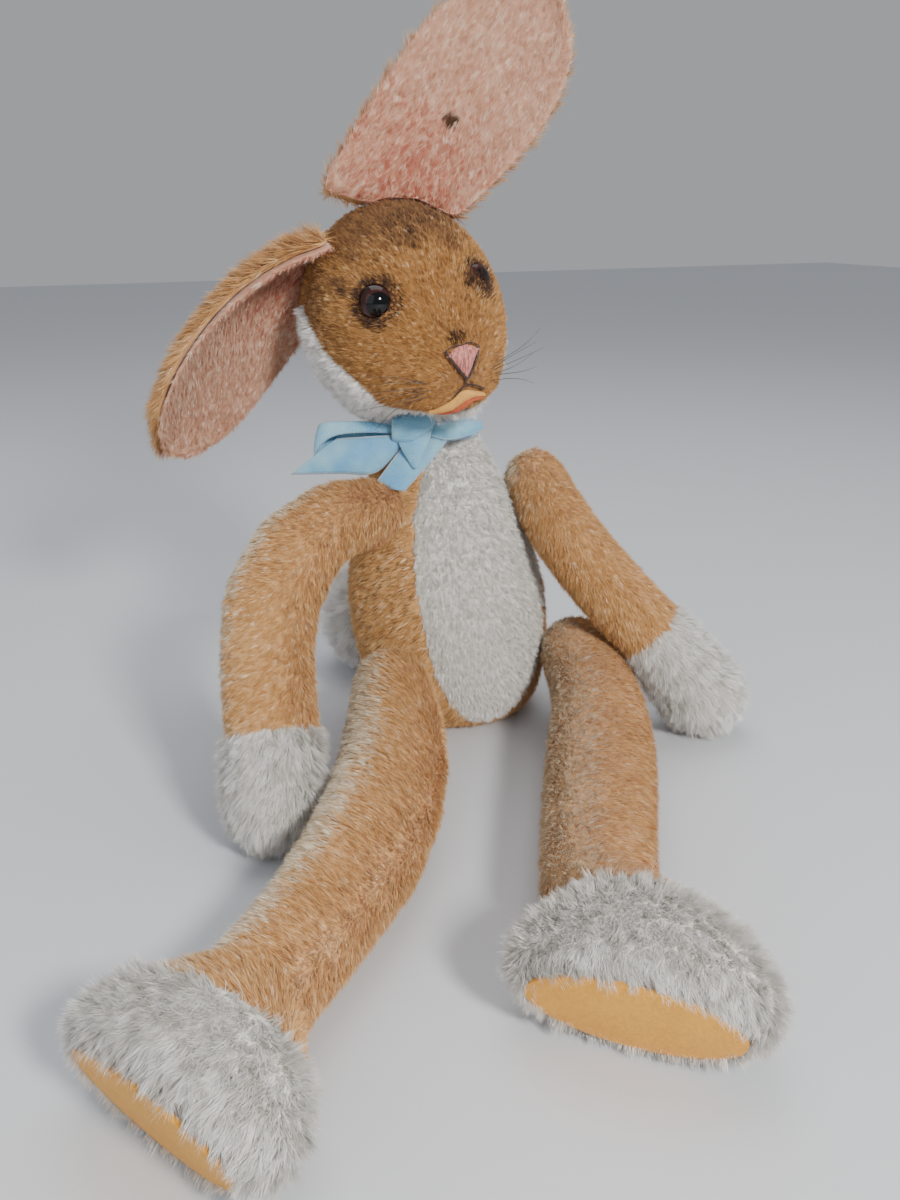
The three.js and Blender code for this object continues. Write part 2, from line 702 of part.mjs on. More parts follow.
// Ears: a cupped leaf in two layers, the pile cloth behind and the pink lining in front.
function earLayer(behind, front, { cup, slant, rootShare, arch }) {
  const rows = 9;
  const columns = 6;
  const vertices = [];
  for (const depth of [behind, front]) {
    for (let row = 0; row <= rows; row++) {
      const share = row / rows;
      const swell = rootShare + (1 - rootShare) * Math.sin(Math.min(share / 0.55, 1) * (Math.PI / 2));
      const close = share < 0.55 ? 1 : Math.sqrt(1 - ((share - 0.55) / 0.455) ** 2);
      const half = (earWidth / 2) * swell * close;
      const rise = arch * Math.sin(Math.PI * share ** 0.7);
      for (let column = 0; column <= columns; column++) {
        const across = (column / columns) * 2 - 1;
        const curl = -cup * across * across * (1 - 0.3 * share);
        const lean = slant * across * (1 - share) ** 2;
        vertices.push(across * half, curl + depth + rise, earLength * share + lean);
      }
    }
  }
  const faces = [];
  const wide = columns + 1;
  const sheet = wide * (rows + 1);
  for (let row = 0; row < rows; row++) {
    for (let column = 0; column < columns; column++) {
      const corner = row * wide + column;
      faces.push(corner, corner + wide, corner + wide + 1, corner, corner + wide + 1, corner + 1);
      const far = corner + sheet;
      faces.push(far, far + wide + 1, far + wide, far, far + 1, far + wide + 1);
    }
  }
  const rim = [];
  for (let column = 0; column < columns; column++) rim.push(column);
  for (let row = 0; row < rows; row++) rim.push(row * wide + columns);
  for (let column = columns; column > 0; column--) rim.push(rows * wide + column);
  for (let row = rows; row > 0; row--) rim.push(row * wide);
  rim.forEach((a, index) => {
    const b = rim[(index + 1) % rim.length];
    faces.push(a, b, b + sheet, a, b + sheet, a + sheet);
  });
  const geometry = new THREE.BufferGeometry();
  geometry.setAttribute("position", new THREE.Float32BufferAttribute(vertices, 3));
  geometry.setIndex(faces);
  return geometry;
}

const headRoom = toSolid(headShape(-1.5).applyMatrix4(head.matrixWorld));
function ear(side, root, tip, facing, form) {
  const along = tip.clone().sub(root).normalize();
  const back = facing.clone().negate();
  back.addScaledVector(along, -back.dot(along)).normalize();
  const across = back.clone().cross(along);
  const place = new THREE.Matrix4().makeBasis(across, back, along).setPosition(root);
  const layers = [
    [`${side}_ear_back`, earBackThick + gap, gap / 2, tan],
    [`${side}_ear_lining`, -gap / 2, -earLiningThick, pink],
  ];
  for (const [name, behind, front, finish] of layers) {
    const layer = toSolid(earLayer(behind, front, form).applyMatrix4(place));
    piece(name, layer.subtract(headRoom), finish);
  }
}
const earForms = {
  left: { cup: 6, slant: 14, rootShare: 0.8, arch: 0 },
  right: { cup: 16, slant: -10, rootShare: 0.6, arch: 12 },
};
ear("left", overNeck(-35, -3, 85), overNeck(36, 4, 163), point(-0.43, -0.9, 0), earForms.left);
ear("right", overNeck(-61, 4, 70), overNeck(-127, 54, -18), point(0.3, -0.66, -0.62), earForms.right);

// Ribbon: a band round the neck and a bow at the front right.
const bandWidth = 9; // the ribbon is gathered to this about the neck
const bandMiddle = point(neck.x * 0.97, neck.y * 0.97, bodyHeight - 5.5);
function bandRing(radius) {
  const ring = new THREE.CylinderGeometry(radius, radius + 0.8, bandWidth, 24);
  ring.rotateX(Math.PI / 2).translate(bandMiddle.x, bandMiddle.y, bandMiddle.z);
  return toSolid(ring);
}
const bandEase = 0.51;
const bandInner = bodyReach(bandMiddle.z - bandWidth / 2) + bandEase;
piece("ribbon_band", bandRing(bandInner + ribbonThick).subtract(bandRing(bandInner)), ribbonSilk);

function ribbonRun(name, places, halves, across, thick) {
  const curve = new THREE.CatmullRomCurve3(places);
  const side = across.clone().normalize();
  const steps = places.length * 2;
  const rings = [];
  for (let step = 0; step <= steps; step++) {
    const share = step / steps;
    const along = curve.getTangent(share);
    const up = along.clone().cross(side).normalize();
    const wide = THREE.MathUtils.lerp(halves[0], halves[1], share);
    const level = up.clone().cross(along);
    rings.push({ centre: curve.getPoint(share), across: level, up, wide, tall: thick });
  }
  const shape = loft(rings, rings[0].centre, rings[steps].centre, 8);
  piece(name, toSolid(shape), ribbonSilk);
}
const knot = overNeck(-31, -19, -6);
const knotBall = new THREE.SphereGeometry(1, 12, 8).scale(8, 5.5, 6);
knotBall.rotateZ(-0.6).translate(knot.x, knot.y, knot.z);
piece("bow_knot", toSolid(knotBall).subtract(bandRing(bandInner + ribbonThick + gap)), ribbonSilk);
// The bow's tails lie over the top of the right arm.
const [, , overArm, , armHalf] = hungArms.right.stations[1];
const armTop = overArm + armHalf + (armBall - drawnFor.arm) * wallCurve;
const bowDrop = point(0.1, 0.1, -1);
const rightLoop = [overNeck(-39.5, -19, -6), overNeck(-52, -20, -6), overNeck(-66, -14, -7)];
const leftLoop = [overNeck(-25, -25.5, -6), overNeck(-17, -29, -5), overNeck(-6, -27, -5)];
ribbonRun("bow_right_loop", rightLoop, [5, 8], bowDrop, 3);
ribbonRun("bow_left_loop", leftLoop, [5, 6], bowDrop, 2);
ribbonRun(
  "bow_long_tail",
  [overNeck(-38, -24, -11), point(-56, -24, armTop + 5.5), point(-79, -16, armTop + 2.5)],
  [4, ribbonWidth / 2],
  point(0.25, 0.4, -0.9),
  ribbonThick / 2,
);
ribbonRun(
  "bow_short_tail",
  [overNeck(-34, -28, -12), point(-45, -36.5, armTop + 2.5), point(-54, -40.5, armTop - 5.5)],
  [4, ribbonWidth / 2],
  point(0.9, -0.5, 0),
  ribbonThick / 2,
);

export default rabbit;
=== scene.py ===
"""A seated dangling rabbit in short mohair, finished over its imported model.

The skins are padded cloth shells with a combed pile of tapered hairs on them. The face,
felt, thread, eyes, whiskers and ribbon are made piece by piece. Metres, +Z up."""
import json
import math

import bmesh
import bpy
import numpy as np
from mathutils import Matrix, Vector
from mathutils.bvhtree import BVHTree


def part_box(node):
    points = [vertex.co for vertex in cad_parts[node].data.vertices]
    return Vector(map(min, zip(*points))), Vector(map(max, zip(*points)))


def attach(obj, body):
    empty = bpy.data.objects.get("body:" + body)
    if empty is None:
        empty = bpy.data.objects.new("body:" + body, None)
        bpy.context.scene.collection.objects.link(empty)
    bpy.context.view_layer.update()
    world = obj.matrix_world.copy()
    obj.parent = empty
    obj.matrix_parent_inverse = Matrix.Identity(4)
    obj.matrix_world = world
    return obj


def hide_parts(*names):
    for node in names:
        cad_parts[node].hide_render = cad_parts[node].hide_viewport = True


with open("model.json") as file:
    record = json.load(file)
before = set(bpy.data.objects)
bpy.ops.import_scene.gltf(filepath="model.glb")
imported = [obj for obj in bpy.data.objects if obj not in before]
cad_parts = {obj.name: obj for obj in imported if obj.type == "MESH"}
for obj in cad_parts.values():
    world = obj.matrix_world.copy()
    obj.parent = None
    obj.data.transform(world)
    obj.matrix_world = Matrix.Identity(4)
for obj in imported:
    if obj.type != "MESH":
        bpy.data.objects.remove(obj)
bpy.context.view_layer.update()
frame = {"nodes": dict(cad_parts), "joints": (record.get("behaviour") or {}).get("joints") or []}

MM = 0.001
nodes = frame["nodes"]


# ---------------------------------------------------------------- camera, floor and light

def set_camera():
    """The rabbit is seen from its front right, from about its own height."""
    data = bpy.data.cameras.new("camera")
    data.lens = 33.33
    data.sensor_width = 36
    camera = bpy.data.objects.new("camera", data)
    bpy.context.scene.collection.objects.link(camera)
    camera.location = (-0.2148, -0.4496, 0.235)
    turn, drop = math.radians(25), math.radians(19.9)
    ahead = Vector((math.sin(turn), math.cos(turn), 0)) * math.cos(drop)
    look = ahead - Vector((0, 0, math.sin(drop)))
    camera.rotation_euler = look.to_track_quat("-Z", "Y").to_euler()
    bpy.context.scene.camera = camera


def soft_light(name, place, target, power, size, colour=(1, 1, 1)):
    data = bpy.data.lights.new(name, "AREA")
    data.energy = power
    data.size = size
    data.color = colour
    lamp = bpy.data.objects.new(name, data)
    bpy.context.scene.collection.objects.link(lamp)
    lamp.location = place
    lamp.rotation_euler = (Vector(target) - Vector(place)).to_track_quat("-Z", "Y").to_euler()


def set_studio():
    world = bpy.data.worlds.new("studio")
    world.use_nodes = True
    world.node_tree.nodes["Background"].inputs["Color"].default_value = (0.82, 0.84, 0.88, 1)
    world.node_tree.nodes["Background"].inputs["Strength"].default_value = 0.46
    bpy.context.scene.world = world
    middle = (-0.03, -0.08, 0.12)
    soft_light("key", (0.02, -0.98, 0.62), middle, 11.0, 0.16, (1, 0.97, 0.92))
    soft_light("fill", (-0.95, -0.45, 0.55), middle, 2.2, 1.0, (0.92, 0.96, 1))
    soft_light("top", (0.1, 0.25, 1.1), middle, 5.0, 0.9)


# ---------------------------------------------------------------- mesh helpers

def deselect_all():
    if bpy.context.mode != "OBJECT":
        bpy.ops.object.mode_set(mode="OBJECT")
    bpy.ops.object.select_all(action="DESELECT")


def pick(*pieces):
    deselect_all()
    for piece in pieces:
        piece.select_set(True)
    bpy.context.view_layer.objects.active = pieces[0]


def add_object(name, mesh):
    piece = bpy.data.objects.new(name, mesh)
    bpy.context.scene.collection.objects.link(piece)
    return piece


def finish_with(piece, kind, **settings):
    """Adds a modifier with these settings and applies it."""
    pick(piece)
    modifier = piece.modifiers.new(kind.title(), kind)
    for key, value in settings.items():
        setattr(modifier, key, value)
    bpy.ops.object.modifier_apply(modifier=modifier.name)


def copy_of(name, *node_names):
    """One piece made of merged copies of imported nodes."""
    copies = []
    for node in node_names:
        copies.append(add_object(name, nodes[node].data.copy()))
    pick(*copies)
    if len(copies) > 1:
        bpy.ops.object.join()
    piece = bpy.context.view_layer.objects.active
    piece.name = name
    piece.data.materials.clear()
    bpy.ops.object.mode_set(mode="EDIT")
    bpy.ops.mesh.select_all(action="SELECT")
    bpy.ops.mesh.remove_doubles(threshold=1e-5)
    bpy.ops.object.mode_set(mode="OBJECT")
    return piece


def stuffed_form(name, *node_names, voxel=3.4, smoothing=5):
    """The smooth outer form of a stuffed part, from its skins and what fills them."""
    form = copy_of(name, *node_names)
    finish_with(form, "REMESH", mode="VOXEL", voxel_size=voxel * MM)
    finish_with(form, "SMOOTH", factor=0.5, iterations=smoothing)
    finish_with(form, "SUBSURF", levels=1, render_levels=1)
    pick(form)
    bpy.ops.object.shade_smooth()
    return form


def tree_of(node):
    mesh = nodes[node].data
    corners = [vertex.co for vertex in mesh.vertices]
    return BVHTree.FromPolygons(corners, [face.vertices[:] for face in mesh.polygons])


def part_by_cloth(form, *cut_from, choose=None):
    """Parts a stuffed form into one open cloth for each node it lies nearest to, or for the
    one that choose picks."""
    trees = [tree_of(node) for node in cut_from]
    nearest = []
    for face in form.data.polygons:
        if choose:
            nearest.append(choose(face.center))
            continue
        gaps = [tree.find_nearest(face.center)[3] for tree in trees]
        nearest.append(gaps.index(min(gaps)))
    cloths = []
    for index, node in enumerate(cut_from):
        shape = bmesh.new()
        shape.from_mesh(form.data)
        shape.faces.ensure_lookup_table()
        others = [shape.faces[i] for i, choice in enumerate(nearest) if choice != index]
        bmesh.ops.delete(shape, geom=others, context="FACES")
        mesh = bpy.data.meshes.new(node)
        shape.to_mesh(mesh)
        shape.free()
        cloths.append(add_object(node + "_cloth", mesh))
    bpy.data.objects.remove(form)
    return cloths


def close_cloth(cloth, thick):
    """Gives an open cloth its thickness, inwards."""
    finish_with(cloth, "SOLIDIFY", thickness=thick * MM, offset=-1)
    pick(cloth)
    bpy.ops.object.shade_smooth()


# ---------------------------------------------------------------- finishes

class Value:
    """A number that varies over a surface. Arithmetic on it adds Math nodes."""

    def __init__(self, finish, socket):
        self.finish = finish
        self.socket = socket

    def sum_up(self, operation, first, second):
        return self.finish.node("ShaderNodeMath", {"operation": operation}, {0: first, 1: second})

    def __add__(self, other):
        return self.sum_up("ADD", self, other)

    def __radd__(self, other):
        return self.sum_up("ADD", other, self)

    def __sub__(self, other):
        return self.sum_up("SUBTRACT", self, other)

    def __rsub__(self, other):
        return self.sum_up("SUBTRACT", other, self)

    def __mul__(self, other):
        return self.sum_up("MULTIPLY", self, other)

    def __rmul__(self, other):
        return self.sum_up("MULTIPLY", other, self)


class Finish:
    """A material on a Principled shader. Its constants are set on the shader's own sockets."""

    def __init__(self, name, colour, roughness=0.8, **constants):
        self.material = bpy.data.materials.new(name)
        self.material.use_nodes = True
        self.tree = self.material.node_tree
        self.shader = self.tree.nodes["Principled BSDF"]
        self.set("Base Color", (*colour, 1))
        self.set("Roughness", roughness)
        for socket, value in constants.items():
            self.set(socket.replace("_", " "), value)
        self.material.diffuse_color = (*colour, 1)

    def put(self, socket, value):
        if isinstance(value, Value):
            self.tree.links.new(value.socket, socket)
        else:
            socket.default_value = value

    def set(self, socket, value):
        self.put(self.shader.inputs[socket], value)

    def node(self, kind, settings=None, inputs=None, output=0):
        made = self.tree.nodes.new(kind)
        for key, value in (settings or {}).items():
            if key == "stops":
                self.set_stops(made.color_ramp, value)
            else:
                setattr(made, key, value)
        for key, value in (inputs or {}).items():
            self.put(made.inputs[key], value)
        return Value(self, made.outputs[output])

    def set_stops(self, ramp, stops):
        while len(ramp.elements) < len(stops):
            ramp.elements.new(1)
        for element, (place, colour) in zip(ramp.elements, stops):
            element.position = place
            element.color = (*colour, 1) if len(colour) == 3 else colour

    def here(self):
        return self.node("ShaderNodeTexCoord", output="Object")

    def noise(self, scale, detail=3, roughness=0.55, stretch=(1, 1, 1)):
        place = self.node("ShaderNodeMapping", None, {"Vector": self.here(), "Scale": stretch})
        inputs = {"Vector": place, "Scale": scale, "Detail": detail, "Roughness": roughness}
        return self.node("ShaderNodeTexNoise", None, inputs, output="Fac")

    def ramp(self, value, *stops):
        return self.node("ShaderNodeValToRGB", {"stops": stops}, {"Fac": value}, output="Color")

    def mix(self, share, first, second):
        made = self.tree.nodes.new("ShaderNodeMix")
        made.data_type = "RGBA"
        self.put(made.inputs[0], share)
        for socket, value in ((made.inputs[6], first), (made.inputs[7], second)):
            self.put(socket, value if isinstance(value, Value) else (*value, 1))
        return Value(self, made.outputs[2])

    def bump(self, height, strength, distance):
        inputs = {"Height": height, "Strength": strength, "Distance": distance}
        self.set("Normal", self.node("ShaderNodeBump", None, inputs))


def from_srgb(red, green, blue):
    """Linear colour from display values of 0 to 255."""
    return tuple(
        c / 12.92 if c <= 0.04045 else ((c + 0.055) / 1.055) ** 2.4
        for c in (red / 255, green / 255, blue / 255)
    )


def mohair_cloth(name, deep, middle, pale):
    """The woven back and the roots of the pile, seen between its hairs."""
    finish = Finish(name, middle, 0.92, Sheen_Weight=0.35, Sheen_Roughness=0.4)
    patches = finish.noise(55, 4, 0.6)
    roots = finish.noise(900, 2, 0.5)
    colour = finish.ramp(patches, (0.3, deep), (0.55, middle), (0.75, pale))
    finish.set("Base Color", finish.mix(roots * 0.5, colour, deep))
    finish.bump(roots + 0.5 * patches, 0.6, 0.0006)
    return finish.material


def hair(name, colour, sheen=0.5, roughness=0.7):
    return Finish(
        name, colour, roughness, Sheen_Weight=sheen, Sheen_Roughness=0.35, Specular_IOR_Level=0.25
    ).material


# ---------------------------------------------------------------- pile

def hashed(cells, salt):
    """A fixed random number from 0 to 1 for each cell."""
    mixed = cells[:, 0] * 73856093 ^ cells[:, 1] * 19349663 ^ cells[:, 2] * 83492791
    mixed = (mixed ^ (salt * 2654435761)) & 0xFFFFFFFF
    mixed = ((mixed >> 16) ^ mixed) * 0x45D9F3B & 0xFFFFFFFF
    mixed = ((mixed >> 16) ^ mixed) * 0x45D9F3B & 0xFFFFFFFF
    return ((mixed >> 16) ^ mixed) / 0xFFFFFFFF


def spread_over(cloth, amount, rng):
    """Random places on a cloth, evenly by area, with their smooth normals."""
    mesh = cloth.data
    mesh.calc_loop_triangles()
    points = np.empty(len(mesh.vertices) * 3)
    mesh.vertices.foreach_get("co", points)
    normals = np.empty(len(mesh.vertices) * 3)
    mesh.vertices.foreach_get("normal", normals)
    corners = np.empty(len(mesh.loop_triangles) * 3, dtype=np.int64)
    mesh.loop_triangles.foreach_get("vertices", corners)
    points, normals = points.reshape(-1, 3), normals.reshape(-1, 3)
    corners = corners.reshape(-1, 3)
    a, b, c = (points[corners[:, i]] for i in range(3))
    area = np.linalg.norm(np.cross(b - a, c - a), axis=1) / 2
    total = int(area.sum() * 1e6 * amount)
    chosen = rng.choice(len(area), total, p=area / area.sum())
    first, second = rng.random(total), rng.random(total)
    over = first + second > 1
    first[over], second[over] = 1 - first[over], 1 - second[over]
    weights = np.stack([1 - first - second, first, second], axis=1)[:, :, None]
    places = (points[corners[chosen]] * weights).sum(axis=1)
    facing = (normals[corners[chosen]] * weights).sum(axis=1)
    return places, unit(facing)


def unit(vectors):
    return vectors / np.maximum(np.linalg.norm(vectors, axis=1, keepdims=True), 1e-9)


def pile(
    name, body, cloth, slot, tones, comb, tone_of,
    amount=5.0, length=4.5, width=0.45, lift=0.55, clump=2.2, stray=0.35, seed=1, keep=None,
):
    """A combed pile of tapered hairs. comb gives the lie of the pile at each place, and
    tone_of picks a tone for each hair from its place and its tuft's two random numbers."""
    rng = np.random.default_rng(seed)
    places, facing = spread_over(cloth, amount, rng)
    if keep is not None:
        held = keep(places, facing)
        places, facing = places[held], facing[held]
    total = len(places)
    wander = 0.35 * clump * MM * np.sin(places[:, [1, 2, 0]] * 900 + seed)
    cells = np.floor((places + wander) / (clump * MM)).astype(np.int64)
    tuft = [hashed(cells, seed * 7 + salt) for salt in range(5)]
    flow = comb(places, facing)
    turned = np.cross(facing, flow)
    swirl = (tuft[0] - 0.5)[:, None] * 1.5 * stray + rng.normal(0, stray * 0.45, (total, 1))
    flow = unit(flow + turned * swirl)
    flow = unit(flow - facing * (flow * facing).sum(axis=1, keepdims=True))
    rise = lift * (0.55 + 0.9 * tuft[1]) + rng.normal(0, 0.13, total)
    rise = np.clip(rise, 0.08, 1.35)[:, None]
    along = flow * np.cos(rise) + facing * np.sin(rise)
    reach = length * MM * (0.6 + 0.5 * tuft[2] + rng.normal(0, 0.14, total))
    reach = np.clip(reach, 0.3 * length * MM, 1.7 * length * MM)[:, None]
    middle_of_tuft = (cells + 0.5) * clump * MM
    gather = (middle_of_tuft - places) * 0.35
    tips = places + along * reach + gather
    tips[:, 2] = np.maximum(tips[:, 2], 0.0003)
    roll = rng.uniform(-0.9, 0.9, (total, 1))
    side = unit(np.cross(along, facing)) * np.cos(roll) + facing * np.sin(roll)
    half = side * (width * MM / 2) * rng.uniform(0.6, 1.3, (total, 1))
    roots = places - facing * 0.0003
    corners = np.stack([roots + half, tips, roots - half], axis=1)
    front = np.cross(corners[:, 1] - corners[:, 0], corners[:, 2] - corners[:, 0])
    behind = (front * facing).sum(axis=1) < 0
    corners[behind] = corners[behind][:, ::-1]
    mesh = bpy.data.meshes.new(name)
    mesh.vertices.add(total * 3)
    mesh.vertices.foreach_set("co", corners.reshape(-1).astype(np.float32))
    mesh.loops.add(total * 3)
    mesh.loops.foreach_set("vertex_index", np.arange(total * 3, dtype=np.int32))
    mesh.polygons.add(total)
    mesh.polygons.foreach_set("loop_start", np.arange(0, total * 3, 3, dtype=np.int32))
    for tone in tones:
        mesh.materials.append(tone)
    choice = tone_of(places, facing, tuft[3], tuft[4], rng.random(total))
    mesh.polygons.foreach_set("material_index", choice.astype(np.int32))
    mesh.update()
    fur = add_object(name, mesh)
    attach(fur, body)


def toward(x, y, z):
    """The pile lies this way wherever it is."""
    way = np.array([[x, y, z]], float)

    def comb(places, facing):
        flow = np.repeat(way, len(places), axis=0)
        flow = flow - facing * (flow * facing).sum(axis=1, keepdims=True)
        return unit(flow + 1e-4)

    return comb


def pick_tones(*limits):
    """Picks tones by a tuft's number: the first below limits[0], and so on."""

    def tone_of(places, facing, tuft, second, single):
        value = 0.72 * tuft + 0.28 * single
        return np.searchsorted(np.array(limits), value)

    return tone_of


# ---------------------------------------------------------------- colours

TAN = [
    from_srgb(*c)
    for c in ((168, 116, 66), (204, 154, 96), (220, 174, 118), (232, 196, 148), (250, 232, 200))
]
BROWN = [
    from_srgb(*c)
    for c in ((146, 98, 50), (180, 130, 74), (202, 154, 98), (222, 184, 136), (244, 224, 190))
]
# Paler tones laid on one side of the limbs: painted sheen.
PAINTED_SHEEN = [from_srgb(*c) for c in ((214, 192, 160), (236, 222, 198))]
SOOT = [from_srgb(*c) for c in ((62, 42, 34), (96, 66, 46))]
UMBER = [from_srgb(*c) for c in ((112, 76, 48), (140, 100, 62))]
WHITE = [
    from_srgb(*c)
    for c in ((206, 202, 194), (226, 223, 217), (240, 238, 234), (252, 251, 248))
]
PINK = [
    from_srgb(*c)
    for c in ((202, 148, 122), (214, 166, 140), (224, 182, 156), (240, 214, 192))
]
ROSE = [from_srgb(*c) for c in ((196, 118, 96), (212, 142, 118))]
tan_tones = [hair(f"tan_hair_{i}", c) for i, c in enumerate(TAN)]
head_tones = [hair(f"head_hair_{i}", c) for i, c in enumerate(BROWN)]
painted_sheen_tones = [hair(f"painted_sheen_hair_{i}", c) for i, c in enumerate(PAINTED_SHEEN)]
soot_tones = [hair(f"airbrushed_hair_{i}", c, 0.2) for i, c in enumerate(SOOT)]
umber_tones = [hair(f"shaded_hair_{i}", c, 0.3) for i, c in enumerate(UMBER)]
white_tones = [hair(f"white_hair_{i}", c) for i, c in enumerate(WHITE)]
pink_tones = [hair(f"pink_hair_{i}", c, 0.3) for i, c in enumerate(PINK)]
rose_tones = [hair(f"rose_hair_{i}", c, 0.2) for i, c in enumerate(ROSE)]
tan_cloth = mohair_cloth("tan_mohair_cloth", TAN[0], TAN[2], TAN[3])
head_cloth = mohair_cloth("head_mohair_cloth", BROWN[0], BROWN[1], BROWN[2])
white_cloth = mohair_cloth("white_mohair_cloth", WHITE[1], WHITE[2], WHITE[3])
pink_cloth = mohair_cloth("ear_lining_cloth", PINK[0], PINK[1], PINK[2])
tan_mix = pick_tones(0.09, 0.46, 0.82, 0.92)
head_mix = pick_tones(0.26, 0.7, 0.9, 0.955)
white_mix = pick_tones(0.12, 0.42, 0.78)
# The side of the limbs where the paler tones go: painted sheen where the light grazes the pile.
PAINTED_SHEEN_SIDE = np.array((-0.64, 0.51, 0.57))


def pick_painted_sheen(plain, count, least=0.45):
    """As plain, but tufts on one side of a limb turn to the paler two tones after the first count.
    The paler side is painted sheen, where the light grazes the pile."""

    def tone_of(places, facing, tuft, second, single):
        choice = plain(places, facing, tuft, second, single)
        share = np.clip(((facing * PAINTED_SHEEN_SIDE).sum(axis=1) - least) * 1.9, 0, 0.9)
        in_painted_sheen = 0.6 * second + 0.4 * single < share
        return np.where(in_painted_sheen, count + (tuft > 0.5), choice)

    return tone_of


def pick_near(plain, count, middle, reach, strength=1.0):
    """As plain, but tufts near a place turn to the two tones after the first count."""

    def tone_of(places, facing, tuft, second, single):
        choice = plain(places, facing, tuft, second, single)
        away = np.linalg.norm(places - np.array(middle), axis=1) / reach
        share = strength * np.clip(1.2 - away, 0, 1)
        near = 0.5 * second + 0.5 * single < share
        return np.where(near, count + (tuft > 0.5), choice)

    return tone_of


def pick_with_patches(plain, count, soft_patches, dark_patches):
    """As plain, but inside the patches tufts turn to the two mid-brown tones after the first
    count, or in the dark ones to the two after those. Each patch is (middle, reach,
    strength), its reach one number or one for each axis of the head."""
    turn = np.array(HEAD.to_3x3())

    def share_of(places, patches):
        share = np.zeros(len(places))
        for middle, reach, strength in patches:
            on_axes = (places - np.array(middle)) @ turn
            away = np.linalg.norm(on_axes / np.array(reach), axis=1)
            share = np.maximum(share, strength * np.clip(1.5 - 1.5 * away, 0, 1))
        return share

    def tone_of(places, facing, tuft, second, single):
        choice = plain(places, facing, tuft, second, single)
        chance = 0.4 * second + 0.6 * single
        soft = chance < share_of(places, soft_patches)
        choice = np.where(soft, count + (tuft > 0.5), choice)
        dark = 0.3 * second + 0.7 * single < share_of(places, dark_patches)
        return np.where(dark, count + 2 + (tuft > 0.6), choice)

    return tone_of


# ---------------------------------------------------------------- skins

def dress(cloth, body, node, material, thick=1.2):
    """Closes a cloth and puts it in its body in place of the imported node."""
    close_cloth(cloth, thick)
    cloth.data.materials.append(material)
    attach(cloth, body)
    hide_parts(node)


def middle_of(*names):
    low = np.min([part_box(n)[0] for n in names], axis=0)
    high = np.max([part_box(n)[1] for n in names], axis=0)
    return (low + high) / 2


# The tan pile of the limbs lies across them, outwards and down.
LIE = {
    ("right", "arm"): (-0.75, 0.2, -0.6),
    ("right", "leg"): (-0.8, 0.35, -0.3),
    ("left", "arm"): (0.35, -0.35, -0.85),
    ("left", "leg"): (0.3, -0.75, -0.3),
}


def sole_shape(side):
    """The middle of a sole, its ways out, along and up, and half its length and depth."""
    node = f"{side}_foot_sole"
    mesh = nodes[node].data
    forward = [face for face in mesh.polygons if face.normal.z < 0.2 and face.normal.y < 0]
    out = Vector(max(forward, key=lambda face: face.area).normal)
    toe = out.cross(Vector((0, 0, 1))).normalized()
    rise = toe.cross(out)
    spots = [Vector(v.co) for v in mesh.vertices]
    middle = Vector(middle_of(node))
    half_long = max(abs((s - middle).dot(toe)) for s in spots)
    half_deep = max(abs((s - middle).dot(rise)) for s in spots)
    return middle, out, toe, rise, half_long, half_deep


def clear_of_sole(side):
    """Keeps the pile off the cloth that the felt covers."""
    middle, out, toe, rise, half_long, half_deep = (np.array(part) for part in sole_shape(side))

    def keep(places, facing):
        away = places - middle
        along, up = away @ toe / half_long, away @ rise / half_deep
        return (along ** 2 + up ** 2 > 0.92) | (away @ out < -6 * MM)

    return keep


def make_limb(side, kind, seed):
    end = "paw" if kind == "arm" else "foot"
    top = "shoulder" if kind == "arm" else "hip"
    body = f"{side}_{kind}"
    near, far = f"{side}_{kind}_skin", f"{side}_{end}_skin"
    filling = f"{side}_{kind}_stuffing"
    form = stuffed_form(body, near, far, filling, f"{side}_{top}_limb_disc")
    upper, lower = part_by_cloth(form, near, far)
    joint = next(j for j in frame["joints"] if j["name"] == f"{side}_{top}_tilt")
    down_limb = middle_of(far) - np.array(joint["pos_m"])
    # The paler tones on one side of the limb are painted sheen.
    tones = tan_tones + painted_sheen_tones + rose_tones
    mix = pick_painted_sheen(tan_mix, len(tan_tones))
    # Darker rose tones near the joint, where the limb meets the body: painted shade in the crease.
    painted_crease_shade = Vector(joint["pos_m"]) + Vector((0, -0.004, -0.012))
    mix = pick_near(mix, len(tan_tones + painted_sheen_tones), painted_crease_shade, 0.016, 0.45)
    pile(f"{body}_pile", body, upper, "tan_mohair", tones, toward(*LIE[side, kind]), mix,
         amount=7.4 if kind == "arm" else 6.1, length=3.6, width=0.34, lift=0.42, clump=1.5,
         seed=seed)
    pile(f"{side}_{end}_pile", body, lower, "white_mohair", white_tones,
         toward(*down_limb), white_mix,
         amount=8.2, length=5.6, width=0.36, lift=0.75, clump=2.4, stray=0.6, seed=seed + 1,
         keep=clear_of_sole(side) if kind == "leg" else None)
    dress(upper, body, near, tan_cloth)
    dress(lower, body, far, white_cloth)
    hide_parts(filling)


def make_torso():
    names = ["torso_skin", "belly_panel"]
    form = stuffed_form("torso", *names, "torso_stuffing")
    sides, belly = part_by_cloth(form, *names)
    pile("torso_pile", "torso", sides, "tan_mohair", tan_tones + umber_tones,
         toward(-0.8, 0.3, -0.45),
         pick_near(tan_mix, len(tan_tones), (-0.04, -0.02, 0.075), 0.05, 0.3),
         amount=6.0, length=4.0, width=0.36, lift=0.45, clump=1.7, seed=21)
    pile("belly_pile", "torso", belly, "white_mohair", white_tones,
         toward(0.1, -0.1, -1), white_mix,
         amount=12, length=2.6, width=0.3, lift=0.9, clump=1.6, stray=0.6, seed=22)
    dress(sides, "torso", "torso_skin", tan_cloth)
    dress(belly, "torso", "belly_panel", white_cloth)
    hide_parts("torso_stuffing")


